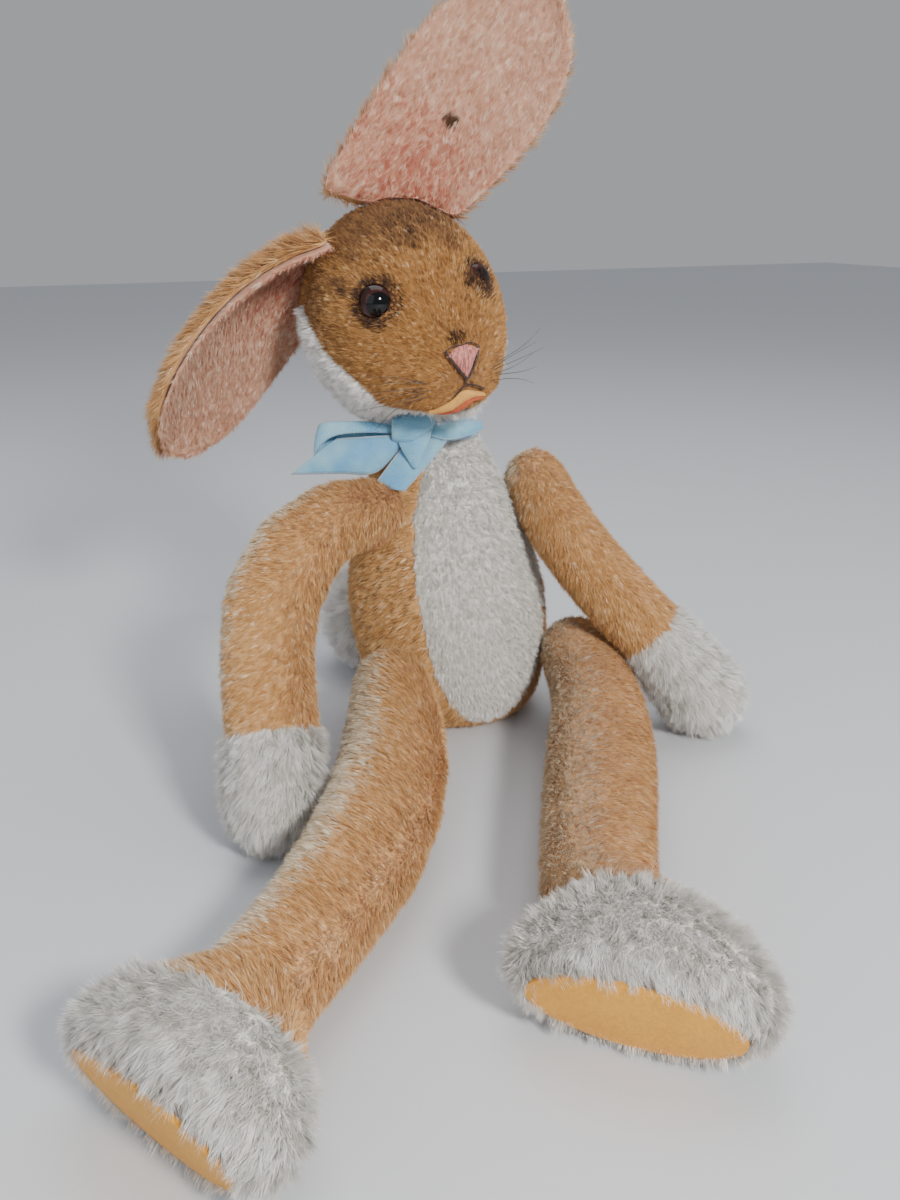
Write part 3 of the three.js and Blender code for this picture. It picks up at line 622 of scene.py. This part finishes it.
def make_tail():
    form = stuffed_form("tail", "tail_skin", "tail_stuffing")
    form.name = "tail_cloth"
    pile("tail_pile", "torso", form, "white_mohair", white_tones, toward(0, 0.6, -0.6), white_mix,
         amount=8, length=7.5, width=0.4, lift=1.0, clump=3, stray=0.8, seed=31)
    form.data.materials.append(white_cloth)
    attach(form, "torso")
    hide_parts("tail_skin", "tail_stuffing")


HEAD = Matrix.Translation(Vector((-29.5, -4.4, 188.5)) * MM) @ Matrix.Rotation(0.04, 4, "Z") @ (
    Matrix.Rotation(math.radians(-9), 4, "Y") @ Matrix.Rotation(math.radians(9), 4, "X")
)


def on_head(x, y, z):
    """A place from millimetres across, along and up the head."""
    return HEAD @ (Vector((x, y, z)) * MM)


def head_way(x, y, z):
    return (HEAD.to_3x3() @ Vector((x, y, z))).normalized()


FAR_EYE_DEPTH = 2.2  # how much deeper the left eye lies in the fur, in mm
BARE_ROUND_EYE = {"left": 0.0045, "right": 0.0058}


def sink_round_eyes(form):
    """Pulls the cloth in under each glass eye."""
    for side in ("left", "right"):
        low, high = (Vector(corner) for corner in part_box(f"{side}_eye"))
        middle, radius = (low + high) / 2, (high.x - low.x) / 2
        for vertex in form.data.vertices:
            away = vertex.co - middle
            if away.length < radius * 1.06:
                vertex.co = middle + away * 0.8


def draw_up_chin(form):
    """Draws the underside of the muzzle up to just below the mouth."""
    back = HEAD.inverted()
    for vertex in form.data.vertices:
        place = back @ vertex.co / MM
        if place.z < -22:
            share = min(1, max(0, (-8 - place.y) / 22))
            share = share * share * (3 - 2 * share)
            place.z += (-22 - place.z) * 0.62 * share
            vertex.co = HEAD @ (place * MM)


SEAM_ALONG = (-60, -37, -31.7, -29.2, -23, -9.3, 2, 16, 20, 44)
SEAM_HEIGHT = (-25.4, -26, -24.6, -17.3, -12.4, -5.6, 2.8, 8.3, 0, -49)


def under_cheek_seam(place):
    """1 below the seam that drops from the cheek to the mouth, 0 above it."""
    on_axes = HEAD.inverted() @ Vector(place) / MM
    return int(on_axes.z < np.interp(on_axes.y, SEAM_ALONG, SEAM_HEIGHT))


def make_head():
    names = ["head_skin", "chin_gusset"]
    form = stuffed_form("head", *names, "head_stuffing", "left_eye", "right_eye", voxel=2.7)
    draw_up_chin(form)
    tree = BVHTree.FromObject(form, bpy.context.evaluated_depsgraph_get())
    sink_round_eyes(form)
    crown, gusset = part_by_cloth(form, *names, choose=under_cheek_seam)
    eyes = [middle_of(f"{side}_eye") for side in ("left", "right")]

    def clear_of_eyes(places, facing):
        away = [np.linalg.norm(places - eye, axis=1) for eye in eyes]
        return (away[0] > BARE_ROUND_EYE["left"]) & (away[1] > BARE_ROUND_EYE["right"])

    soft_patches = [
        (on_head(0, -6, 8), (0.070, 0.075, 0.070), 0.3),
        (on_head(-2, 2, 46), (0.050, 0.048, 0.036), 1.1),
        (on_head(-4, -22, 38), (0.013, 0.018, 0.012), 0.9),
        (on_head(11, -25, 35), (0.012, 0.015, 0.012), 0.8),
        (on_head(-24, -14, 33), (0.013, 0.013, 0.008), 0.7),
        (on_head(-37, 1, 14), (0.012, 0.016, 0.026), 0.7),
        (on_head(-34, -16, 22), (0.009, 0.013, 0.007), 0.8),
        (on_head(-37, -16, 4), (0.010, 0.016, 0.010), 0.5),
        (on_head(0, 36, 20), (0.050, 0.030, 0.036), 0.4),
    ]
    ahead = np.array(head_way(0, -1, 0)) * 0.002
    dark_patches = [(eyes[0] + ahead, 0.0115, 1.3), (eyes[1] + ahead, 0.0132, 1.5)]
    dark_patches += [
        (on_head(-3, -18, 42), (0.020, 0.014, 0.010), 0.45),
        (on_head(12, -16, 41), (0.009, 0.012, 0.008), 0.5),
        (on_head(-5, -24, 37), (0.006, 0.008, 0.008), 0.5),
        (on_head(0, -50, 3), (0.0055, 0.006, 0.004), 1.0),
        (on_head(12, -38, 19.5), (0.0035, 0.006, 0.0045), 1.2),
        (on_head(10, -37, 24), (0.003, 0.005, 0.003), 0.6),
        (on_head(9, -40, 15), (0.003, 0.005, 0.003), 0.6),
        (on_head(-33, -17, 20), (0.005, 0.007, 0.004), 0.5),
    ]
    airbrushed = pick_with_patches(head_mix, len(head_tones), soft_patches, dark_patches)
    pile("crown_pile", "head", crown, "tan_mohair", head_tones + umber_tones + soot_tones,
         toward(*head_way(-0.15, 1, 0.1)), airbrushed,
         amount=10.6, length=2.4, width=0.3, lift=0.42, clump=1.3, seed=41, keep=clear_of_eyes)
    pile("gusset_pile", "head", gusset, "white_mohair", white_tones,
         toward(*head_way(-0.2, 1, -0.35)), white_mix,
         amount=9.2, length=4.6, width=0.34, lift=0.7, clump=2.2, stray=0.5, seed=42)
    chin, chin_reach = np.array(on_head(6, -30, -24)), 0.016

    def under_mouth(places, facing):
        return np.linalg.norm(places - chin, axis=1) < chin_reach

    pile("chin_fluff", "head", gusset, "white_mohair", white_tones,
         toward(*head_way(0.1, -0.35, -1)), white_mix,
         amount=16, length=8, width=0.34, lift=0.6, clump=2.4, stray=0.6, seed=43, keep=under_mouth)
    dress(crown, "head", "head_skin", head_cloth)
    dress(gusset, "head", "chin_gusset", white_cloth)
    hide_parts("head_stuffing")
    return tree


# ---------------------------------------------------------------- face

def face_place(tree, x, z, lift=0.0):
    """The place on the front of the face at these millimetres, lifted off it."""
    start, way = on_head(x, -90, z), head_way(0, 1, 0)
    place, normal = tree.ray_cast(start, way)[:2]
    return place + normal * lift * MM


def thread(name, places, radius, sides=6, steps=3, taper=None):
    """A smooth thread through places, as a mesh. taper gives its end thickness as a share."""
    curve = bpy.data.curves.new(name, "CURVE")
    curve.dimensions = "3D"
    curve.resolution_u = steps
    curve.bevel_depth = radius * MM
    curve.bevel_resolution = max(0, (sides - 4) // 2)
    curve.use_fill_caps = True
    spline = curve.splines.new("BEZIER")
    spline.bezier_points.add(len(places) - 1)
    for index, (point, place) in enumerate(zip(spline.bezier_points, places)):
        point.co = place
        point.handle_left_type = point.handle_right_type = "AUTO"
        if taper is not None:
            point.radius = 1 + (taper - 1) * index / (len(places) - 1)
    made = add_object(name, curve)
    pick(made)
    bpy.ops.object.convert(target="MESH")
    return made


def join_as(name, made):
    pick(*made)
    bpy.ops.object.join()
    piece = bpy.context.view_layer.objects.active
    piece.name = name
    bpy.ops.object.shade_smooth()
    return piece


def seat(piece, body, slot, finish, *replaced):
    piece.data.materials.clear()
    piece.data.materials.append(finish)
    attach(piece, body)
    if replaced:
        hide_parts(*replaced)


def silk_finish(name, colour, deep):
    finish = Finish(name, colour, 0.38, Sheen_Weight=0.25, Anisotropic=0.5)
    strands = finish.noise(1500, 2, 0.6, (1, 1, 0.1))
    finish.set("Base Color", finish.ramp(strands, (0.38, deep), (0.6, colour)))
    finish.bump(strands, 0.8, 0.0004)
    return finish.material


def make_nose(tree):
    """Satin stitches laid side by side from the rounded top of the nose to its point."""
    half, top, tip, middle = 6.6, -0.6, -11.4, 0.3
    stitches = []
    count = 25
    for index in range(count):
        across = 2 * index / (count - 1) - 1
        share = abs(across)
        high = top + 1.1 * math.cos(across * math.pi * 0.75) - 1.2 * share ** 4
        low = tip + (high - tip) * share ** 1.25 + 0.3
        rows = [high + (low - high) * step / 4 for step in range(5)]
        swell = [0.2, 1.1, 1.5, 1.2, 0.3]
        spots = [
            face_place(tree, middle + half * across, z, 0.9 + lift * (1 - 0.4 * share))
            for z, lift in zip(rows, swell)
        ]
        stitches.append(thread("stitch", spots, 0.33, steps=2))
    nose = join_as("nose_satin_stitch", stitches)
    silk = silk_finish("nose_silk", from_srgb(224, 150, 138), from_srgb(158, 84, 78))
    seat(nose, "head", "nose_silk", silk, "nose_stitching")
    dark = silk_finish("brown_thread", from_srgb(62, 34, 26), from_srgb(30, 16, 12))
    edges = [
        (0.62, [(-half - 0.1, top + 0.2), (-half * 0.66, -5.2), (-1.6, -9.6), (0, tip - 0.6)]),
        (0.5, [(half + 0.7, top - 0.8), (half * 0.74, -6.0), (2.0, -10), (0, tip - 0.6)]),
        (0.22, [(-half, top + 0.2), (-3.0, top + 1.4), (0.3, top + 1.2), (3.4, top + 1.4),
                (half + 0.6, top - 0.6)]),
        (0.4, [(0, tip - 0.3), (-0.4, tip - 1.2), (-0.6, tip - 2.4)]),
        (0.38, [(-0.6, tip - 2.2), (2.2, tip - 3.2), (5, tip - 4.6), (7.4, tip - 6.4)]),
        (0.3, [(-0.6, tip - 2.2), (-2.6, tip - 3.8), (-5.6, tip - 6.4)]),
    ]
    outline = []
    for radius, corners in edges:
        spots = [face_place(tree, x, z, 1.6) for x, z in corners]
        outline.append(thread("outline", spots, radius, sides=6, steps=5))
    stitched = join_as("nose_and_mouth_outline", outline)
    seat(stitched, "head", "nose_silk", dark)


def felt_finish(name, colour, deep):
    finish = Finish(name, colour, 0.95, Sheen_Weight=0.15, Sheen_Roughness=0.6)
    fibres = finish.noise(700, 5, 0.7)
    blotches = finish.noise(60, 4, 0.6)
    finish.set("Base Color", finish.ramp(fibres * 0.6 + blotches * 0.4, (0.3, deep), (0.6, colour)))
    finish.bump(fibres, 0.7, 0.0004)
    return finish.material


def lip(name, tree, rails, lift, thick, finish, slot, node):
    """A felt lip laid on the muzzle. Its rails run along it, each a row of (across, up)
    places on the face in millimetres."""
    columns, rows = 26, 5
    shape = bmesh.new()
    grid = []
    spots = [[Vector((x, z, 0)) for x, z in rail] for rail in rails]
    for row in range(rows + 1):
        line = []
        for column in range(columns + 1):
            along = [glide(rail, column / columns) for rail in spots]
            x, z = glide(along, row / rows)[:2]
            out = lift + 0.9 * math.sin(math.pi * row / rows)
            line.append(shape.verts.new(face_place(tree, x, z, out)))
        grid.append(line)
    for upper, lower in zip(grid, grid[1:]):
        for column in range(columns):
            shape.faces.new((upper[column], lower[column], lower[column + 1], upper[column + 1]))
    bmesh.ops.recalc_face_normals(shape, faces=shape.faces)
    mesh = bpy.data.meshes.new(name)
    shape.to_mesh(mesh)
    shape.free()
    piece = add_object(name, mesh)
    finish_with(piece, "SOLIDIFY", thickness=thick * MM, offset=0)
    finish_with(piece, "BEVEL", width=0.3 * MM, segments=2)
    finish_with(piece, "SUBSURF", levels=1, render_levels=1)
    pick(piece)
    bpy.ops.object.shade_smooth()
    seat(piece, "head", slot, finish, node)


def make_mouth(tree):
    """The lip felt runs from the near corner of the mouth up under the split of the lip."""
    lip_felt = felt_finish("lip_felt", from_srgb(224, 166, 84), from_srgb(192, 132, 58))
    mouth_felt = felt_finish("mouth_felt", from_srgb(192, 98, 54), from_srgb(150, 62, 36))
    upper = [(-13.6, -22.9), (-9.7, -21.2), (-6.2, -19.2),
             (-2.1, -16.4), (2.2, -17.4), (7.6, -19.9)]
    middle = [(-13.6, -23.1), (-9.3, -22.3), (-5.4, -20.8),
              (-1.5, -18.5), (2.6, -18.6), (7.8, -20.3)]
    lower = [(-13.6, -23.3), (-8.9, -23.3), (-4.8, -22.2),
             (-0.9, -20.4), (3.0, -19.8), (7.8, -20.7)]
    lip("mouth_lining_felt", tree, [upper, middle, lower], 1.0, 0.9,
        lip_felt, "lip_felt", "mouth_lining")
    upper = [(-11.4, -23.5), (-8.2, -23.8), (-4.4, -22.8),
             (-0.7, -21.0), (2.8, -20.4), (6.8, -21.0)]
    lower = [(-10.4, -24.0), (-7.2, -25.0), (-3.4, -24.5),
             (0.1, -22.6), (3.0, -21.5), (6.6, -21.5)]
    lip("lower_lip_felt", tree, [upper, lower], 0.8, 0.9, mouth_felt, "mouth_felt", "lower_lip")


def make_eye(side, depth):
    """A glass eye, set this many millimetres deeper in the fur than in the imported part."""
    middle = Vector(middle_of(f"{side}_eye")) + head_way(0, 1, 0) * depth * MM
    low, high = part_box(f"{side}_eye")
    radius = (high[0] - low[0]) / 2
    deselect_all()
    bpy.ops.mesh.primitive_uv_sphere_add(segments=48, ring_count=28, radius=radius, location=middle)
    eye = bpy.context.view_layer.objects.active
    eye.name = f"{side}_glass_eye"
    bpy.ops.object.shade_smooth()
    bpy.ops.object.transform_apply(location=True, rotation=True, scale=True)
    gaze = head_way(0.3 if side == "left" else -0.24, -0.96, 0.06)
    finish = Finish(f"{side}_eye_glass", from_srgb(96, 48, 24), 0.25, Specular_IOR_Level=0.0,
                    Coat_Weight=0.8, Coat_Roughness=0.02)
    away = finish.node(
        "ShaderNodeVectorMath", {"operation": "SUBTRACT"}, {0: finish.here(), 1: middle})
    share = finish.node(
        "ShaderNodeVectorMath", {"operation": "DOT_PRODUCT"}, {0: away, 1: gaze}, "Value")
    share = share * (1 / radius)
    rim, brown, black = (from_srgb(*c) for c in ((22, 11, 10), (58, 26, 22), (4, 4, 5)))
    colour = finish.ramp(share, (0.3, rim), (0.66, brown), (0.70, brown), (0.73, black))
    finish.set("Base Color", colour)
    seat(eye, "head", "glass_eye", finish.material, f"{side}_eye")


def make_whiskers(side, tree, bristle, seed):
    way = 1 if side == "left" else -1
    rng = np.random.default_rng(seed)
    hairs = []
    for index in range(6):
        rise = (index - 2.5) * 3.2
        x, z = way * (13 + 2.5 * (index % 2)), -14 + rise * 0.35
        root = face_place(tree, x, z, 0)
        out = way * (24 + 3 * rng.random())
        middle = on_head(x + out * 0.5, -46 - 3 * rng.random(), z + rise * 0.45 + 0.8)
        tip = on_head(x + out, -47 + 6 * rng.random(), z + rise * 1.05 + rng.normal(0, 1))
        hairs.append(thread("hair", [root, middle, tip], 0.17, sides=5, steps=6, taper=0.35))
    seat(join_as(f"{side}_whisker_hairs", hairs), "head", "bristle", bristle, f"{side}_whiskers")


# ---------------------------------------------------------------- bow

BOW = Vector((-31, -19, 142.4)) * MM
BOW_ACROSS = Vector((0.906, -0.423, 0))
BOW_OUT = Vector((-0.397, -0.852, 0.34)).normalized()
BOW_UP = BOW_OUT.cross(BOW_ACROSS).normalized()


def rail(*spots):
    """A row of places from millimetres across, up and out from the middle of the knot."""
    return [BOW + (BOW_ACROSS * x + BOW_UP * up + BOW_OUT * out) * MM for x, up, out in spots]


def glide(places, share):
    """A smooth place along a row of places."""
    if len(places) == 2:
        return places[0].lerp(places[1], share)
    spot = share * (len(places) - 1)
    index = min(int(spot), len(places) - 2)
    f = spot - index
    a = places[max(index - 1, 0)]
    b, c = places[index], places[index + 1]
    d = places[min(index + 2, len(places) - 1)]
    square, cube = 2 * a - 5 * b + 4 * c - d, 3 * b - a - 3 * c + d
    return 0.5 * (2 * b + (c - a) * f + square * f * f + cube * f ** 3)


def ribbon_strip(name, rails, steps=28, across=10, belly=0.8, thick=0.45):
    """A ribbon over two or more rails that run along it, slightly rounded across."""
    shape = bmesh.new()
    uv = shape.loops.layers.uv.new("ribbon")
    grid, run = [], [0.0]
    for step in range(steps + 1):
        spots = [glide(places, step / steps) for places in rails]
        after, before = min(1, (step + 0.5) / steps), max(0, (step - 0.5) / steps)
        ahead = glide(rails[0], after) + glide(rails[-1], after)
        back = glide(rails[0], before) + glide(rails[-1], before)
        out = (ahead - back).cross(spots[-1] - spots[0]).normalized()
        line = []
        for column in range(across + 1):
            f = column / across
            line.append(shape.verts.new(glide(spots, f) + out * belly * MM * math.sin(math.pi * f)))
        if grid:
            run.append(run[-1] + (line[across // 2].co - grid[-1][across // 2].co).length)
        grid.append(line)
    for row in range(steps):
        for column in range(across):
            around = ((row, column), (row + 1, column), (row + 1, column + 1), (row, column + 1))
            face = shape.faces.new([grid[r][c] for r, c in around])
            for loop, (r, c) in zip(face.loops, around):
                loop[uv].uv = (run[r] / MM, c / across)
    mesh = bpy.data.meshes.new(name)
    shape.to_mesh(mesh)
    shape.free()
    piece = add_object(name, mesh)
    piece["run"] = run[-1]
    finish_with(piece, "SOLIDIFY", thickness=thick * MM, offset=0)
    pick(piece)
    bpy.ops.object.shade_smooth()
    return piece


def ribbon_finish():
    """Satin with fine ribs across it and a picot of pale loops along each edge."""
    pale, middle, deep = (from_srgb(*c) for c in ((166, 208, 222), (130, 188, 216), (92, 158, 208)))
    finish = Finish("blue_ribbon", middle, 0.5, Sheen_Weight=0.4, Sheen_Roughness=0.4,
                    Anisotropic=0.3)
    lay = finish.node("ShaderNodeUVMap", {"uv_map": "ribbon"}, output="UV")
    along = finish.node("ShaderNodeSeparateXYZ", None, {0: lay}, "X")
    across = finish.node("ShaderNodeSeparateXYZ", None, {0: lay}, "Y")
    ribs = finish.node("ShaderNodeMath", {"operation": "SINE"}, {0: along * 9.5})
    weave = finish.noise(1600, 2, 0.6)
    # Deep, middle and pale blues mixed by a broad noise: painted light and shade of the ribbon's
    # folds, deep where shaded and pale where lit.
    fold_light_and_shade = finish.noise(70, 3, 0.5)
    edge = finish.node("ShaderNodeMath", {"operation": "ABSOLUTE"}, {0: across - 0.5})
    hem = finish.node("ShaderNodeMath", {"operation": "GREATER_THAN"}, {0: edge, 1: 0.455})
    cloth = finish.ramp(fold_light_and_shade * 0.75 + weave * 0.25, (0.3, deep), (0.5, middle), (0.72, pale))
    picot = finish.ramp(ribs * 0.5 + 0.5, (0.3, deep), (0.6, (0.8, 0.88, 0.92)))
    finish.set("Base Color", finish.mix(hem, cloth, picot))
    finish.bump(ribs * (0.3 + hem) + weave * 0.6, 0.6, 0.0004)
    return finish.material


def seat_ribbon(ribbon, finish, held, *replaced):
    seat(ribbon, "torso", "ribbon", finish, *replaced)
    area = sum(face.area for face in ribbon.data.polygons) / 2
    run = ribbon["run"]
    max(area / run, 0.01)


def make_bow():
    blue = ribbon_finish()
    loop = ribbon_strip(
        "bow_right_loop_ribbon",
        [
            rail((-6, 1.4, 1), (-20, 3.0, 3), (-36, 2.6, 4.6), (-40.2, 1.2, 2), (-38, 0.4, -3),
                 (-20, 0, -4), (-6, 0, -3)),
            rail((-6, -2, 1.4), (-20, -1.8, 4), (-34, -3.6, 4.4), (-42, -10.6, 1.6),
                 (-37, -9.6, -4), (-20, -7, -4), (-6, -4, -3)),
        ],
        steps=48, belly=0.5,
    )
    seat_ribbon(loop, blue, "folded", "bow_right_loop")
    long_tail = ribbon_strip(
        "bow_long_tail_ribbon",
        [
            rail((-5, -2.6, 2), (-13, -3.2, 5), (-23, -4.0, 6.4), (-32, -4.6, 6)),
            rail((-6, -8, 1), (-16, -18.6, 3.6), (-31, -19.4, 6.4), (-51.4, -19.6, 5)),
        ],
        belly=1.4,
    )
    seat_ribbon(long_tail, blue, "hung", "bow_long_tail")
    short_tail = ribbon_strip(
        "bow_short_tail_ribbon",
        [
            rail((3, 4, -1.5), (-3.4, -5, 0), (-9.4, -13.8, 3.4), (-17.1, -24.6, 4.4)),
            rail((18, 1.6, -2.5), (14.6, -4.2, -0.6), (7, -14.2, 2), (-3.6, -26.4, 3.6)),
        ],
    )
    seat_ribbon(short_tail, blue, "hung", "bow_short_tail")
    left_loop = ribbon_strip(
        "bow_left_loop_ribbon",
        [
            rail((7, 3.6, 1), (14, 3.4, 1), (22, 4.0, -2), (29, 4.8, -6), (27, 4.4, -8),
                 (8, 3, -5)),
            rail((7, -3, 1), (14, -4.4, 1), (22, -2.6, -2), (29.4, 1.2, -6), (27, 1, -8),
                 (8, -2, -5)),
        ],
        steps=40,
    )
    seat_ribbon(left_loop, blue, "folded", "bow_left_loop")
    knot = ribbon_strip(
        "bow_knot_ribbon",
        [
            rail((-6.5, 4.4, -4), (-8.2, 5.8, 1), (-8.9, 3.8, 5.6), (-8.9, -0.6, 7),
                 (-8.8, -4.6, 5.8), (-7.6, -5.8, 1), (-6, -5.4, -3)),
            rail((0, 5.4, -3), (0, 7, 2), (0, 5.2, 7), (0, 0.4, 8.6), (-0.2, -4.9, 7.4),
                 (0, -5.4, 1.6), (0, -5, -3)),
            rail((6, 5.4, -4), (8, 6.4, 1), (9, 5.6, 5), (9, 3.8, 6.6), (8.6, 1.5, 5.8),
                 (7, 0, 1.5), (6, -1, -3)),
        ],
        steps=44, across=14, belly=0.2, thick=0.6,
    )
    seat_ribbon(knot, blue, "folded", "bow_knot")
    fold = ribbon_strip(
        "bow_knot_fold_ribbon",
        [
            rail((-7.0, -4.6, 4.4), (-4.6, -9.4, 5.4), (-0.4, -16.4, 4.6)),
            rail((0, -4, 6), (1.0, -9.6, 6.6), (0.8, -17, 5)),
            rail((8.2, 0.4, 4.2), (5.8, -7.4, 5), (2.0, -16.4, 4.6)),
        ],
        steps=18, belly=0.1,
    )
    seat_ribbon(fold, blue, "folded")
    low, high = (np.array(corner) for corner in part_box("ribbon_band"))
    middle, reach = (low + high) / 2, (high[0] - low[0]) / 2
    tops, bottoms = [], []
    for step in range(17):
        turn = 2 * math.pi * step / 16
        ring = Vector((math.cos(turn), math.sin(turn), 0))
        rise = Vector((0, 0, 4.6 * MM + 0.6 * MM * math.sin(3 * turn)))
        tops.append(Vector(middle) + ring * (reach - 0.9 * MM) + rise)
        bottoms.append(Vector(middle) + ring * (reach - 0.2 * MM) - Vector((0, 0, 4.9 * MM)))
    band = ribbon_strip("neck_ribbon", [tops, bottoms], steps=96)
    seat_ribbon(band, blue, "gathered", "ribbon_band")


# ---------------------------------------------------------------- card, linen and steel

def finish_joint_parts():
    """Card, linen and steel for the parts of the joints, which lie inside the skins."""
    card = Finish("disc_card", from_srgb(150, 122, 86), 0.9)
    fibres = card.noise(500, 4, 0.65)
    card.set("Base Color", card.ramp(
        fibres, (0.35, from_srgb(126, 98, 66)), (0.65, from_srgb(166, 138, 100))))
    card.bump(fibres, 0.3, 0.0002)
    linen = Finish("joint_linen", from_srgb(208, 196, 166), 0.85, Sheen_Weight=0.2)
    twist = linen.noise(1800, 2, 0.5, (1, 1, 0.3))
    linen.set("Base Color", linen.ramp(
        twist, (0.35, from_srgb(176, 162, 128)), (0.65, from_srgb(222, 212, 186))))
    linen.bump(twist, 0.5, 0.0002)
    steel = Finish("joint_steel", from_srgb(168, 168, 170), 0.38, Metallic=1.0)
    wear = steel.noise(400, 3, 0.6)
    steel.set("Roughness", 0.28 + 0.25 * wear)
    for name, node in nodes.items():
        finish = None
        if name.endswith("disc"):
            finish = card
        elif name.endswith("cord"):
            finish = linen
        elif name.endswith(("washer", "pin", "shank")):
            finish = steel
        if finish and not node.hide_render:
            node.data.materials.clear()
            node.data.materials.append(finish.material)


# ---------------------------------------------------------------- soles and ears

SOLE_THICK = 2 * MM
SOLE_DOME = 0.9 * MM


def make_sole(side, finish):
    """An oval of felt, slightly domed, over the flat of the foot."""
    node = f"{side}_foot_sole"
    middle, out, toe, rise, half_long, half_deep = sole_shape(side)
    deselect_all()
    bpy.ops.mesh.primitive_circle_add(vertices=56, radius=1, fill_type="NGON")
    sole = bpy.context.view_layer.objects.active
    sole.name = f"{side}_sole_felt"
    bpy.ops.object.mode_set(mode="EDIT")
    bpy.ops.mesh.select_all(action="SELECT")
    bpy.ops.mesh.inset(thickness=0.12)
    bpy.ops.mesh.inset(thickness=0.3)
    bpy.ops.object.mode_set(mode="OBJECT")
    for vertex in sole.data.vertices:
        x, y = vertex.co.x, vertex.co.y
        dome = SOLE_DOME * (1 - min(1, x * x + y * y))
        vertex.co = middle + toe * x * half_long + rise * y * half_deep + out * (dome - 0.2 * MM)
    finish_with(sole, "SOLIDIFY", thickness=SOLE_THICK, offset=0)
    finish_with(sole, "BEVEL", width=0.5 * MM, segments=2)
    pick(sole)
    bpy.ops.object.mode_set(mode="EDIT")
    bpy.ops.mesh.select_all(action="SELECT")
    bpy.ops.mesh.normals_make_consistent(inside=False)
    bpy.ops.object.mode_set(mode="OBJECT")
    bpy.ops.object.shade_smooth_by_angle(angle=math.radians(40))
    seat(sole, f"{side}_leg", "sole_felt", finish, node)
    2 * half_deep
    2 * half_long
    math.pi * half_deep * half_long


WORN_SPOT = (-0.0072, -0.0024, 0.2634)


def make_ear(side, seed):
    body = f"{side}_ear"
    back_node, lining_node = f"{side}_ear_back", f"{side}_ear_lining"
    joint = next(j for j in frame["joints"] if j["name"] == f"{side}_ear_fold")
    along = middle_of(back_node) - np.array(joint["pos_m"])
    across = np.array(joint["axis"])
    behind = unit(np.cross(along, across)[None])[0]
    if np.dot(middle_of(lining_node) - middle_of(back_node), behind) > 0:
        behind = -behind
    comb = toward(*along)
    ear_root = Vector(joint["pos_m"]) + Vector(along) * 0.25
    for node, tones, cloth_finish, slot, out, look in (
        (back_node, tan_tones, tan_cloth, "tan_mohair", behind,
         dict(amount=6.6, length=7, width=0.38, lift=0.6, clump=2.4)),
        (lining_node, pink_tones, pink_cloth, "ear_mohair", -behind,
         dict(amount=10.4, length=3.2, width=0.32, lift=0.5, clump=1.6)),
    ):
        leaf = copy_of(node + "_cloth", node)
        finish_with(leaf, "SUBSURF", levels=2, render_levels=2)
        pick(leaf)
        bpy.ops.object.shade_smooth()

        def outer(places, facing, out=out):
            return (facing * out).sum(axis=1) > -0.1

        mix = tan_mix
        # Redder, darker rose tones towards the ear root: partly the lining's redder colour there,
        # partly painted shade in the cupped root.
        if tones is pink_tones:
            mix = pick_near(white_mix, len(pink_tones), ear_root, 0.05, 0.6)
            tones = pink_tones + rose_tones
            if side == "left":
                mix = pick_near(mix, len(tones), WORN_SPOT, 0.0038, 1.2)
                tones = tones + soot_tones
        pile(node + "_pile", body, leaf, slot, tones, comb, mix, seed=seed, keep=outer, **look)
        seed += 1
        leaf.data.materials.append(cloth_finish)
        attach(leaf, body)
        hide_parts(node)


set_camera()
set_studio()
for number, side in enumerate(("right", "left")):
    make_limb(side, "arm", 100 + number * 10)
    make_limb(side, "leg", 200 + number * 10)
    make_ear(side, 300 + number * 10)
make_torso()
make_tail()
head_tree = make_head()
make_nose(head_tree)
make_mouth(head_tree)
bristle_finish = Finish("dark_bristle", from_srgb(58, 50, 46), 0.45)
sheen_run = bristle_finish.noise(300, 2)
bristle_finish.set("Base Color", bristle_finish.ramp(
    sheen_run, (0.3, from_srgb(40, 34, 32)), (0.7, from_srgb(96, 88, 84))))
ochre_felt = felt_finish("ochre_felt", from_srgb(232, 166, 48), from_srgb(208, 138, 34))
for number, side in enumerate(("right", "left")):
    make_eye(side, 0 if side == "right" else FAR_EYE_DEPTH)
    make_whiskers(side, head_tree, bristle_finish.material, 60 + number)
    make_sole(side, ochre_felt)
make_bow()
finish_joint_parts()

half_floor = 3
turns = ((-1, -1), (1, -1), (1, 1), (-1, 1))
floor_corners = [(x * half_floor, y * half_floor, 0) for x, y in turns]
floor_mesh = bpy.data.meshes.new("floor")
floor_mesh.from_pydata(floor_corners, [], [(0, 1, 2, 3)])
floor = add_object("floor", floor_mesh)
floor_finish = Finish("pale_floor", from_srgb(218, 221, 226), 0.6)
floor.data.materials.append(floor_finish.material)
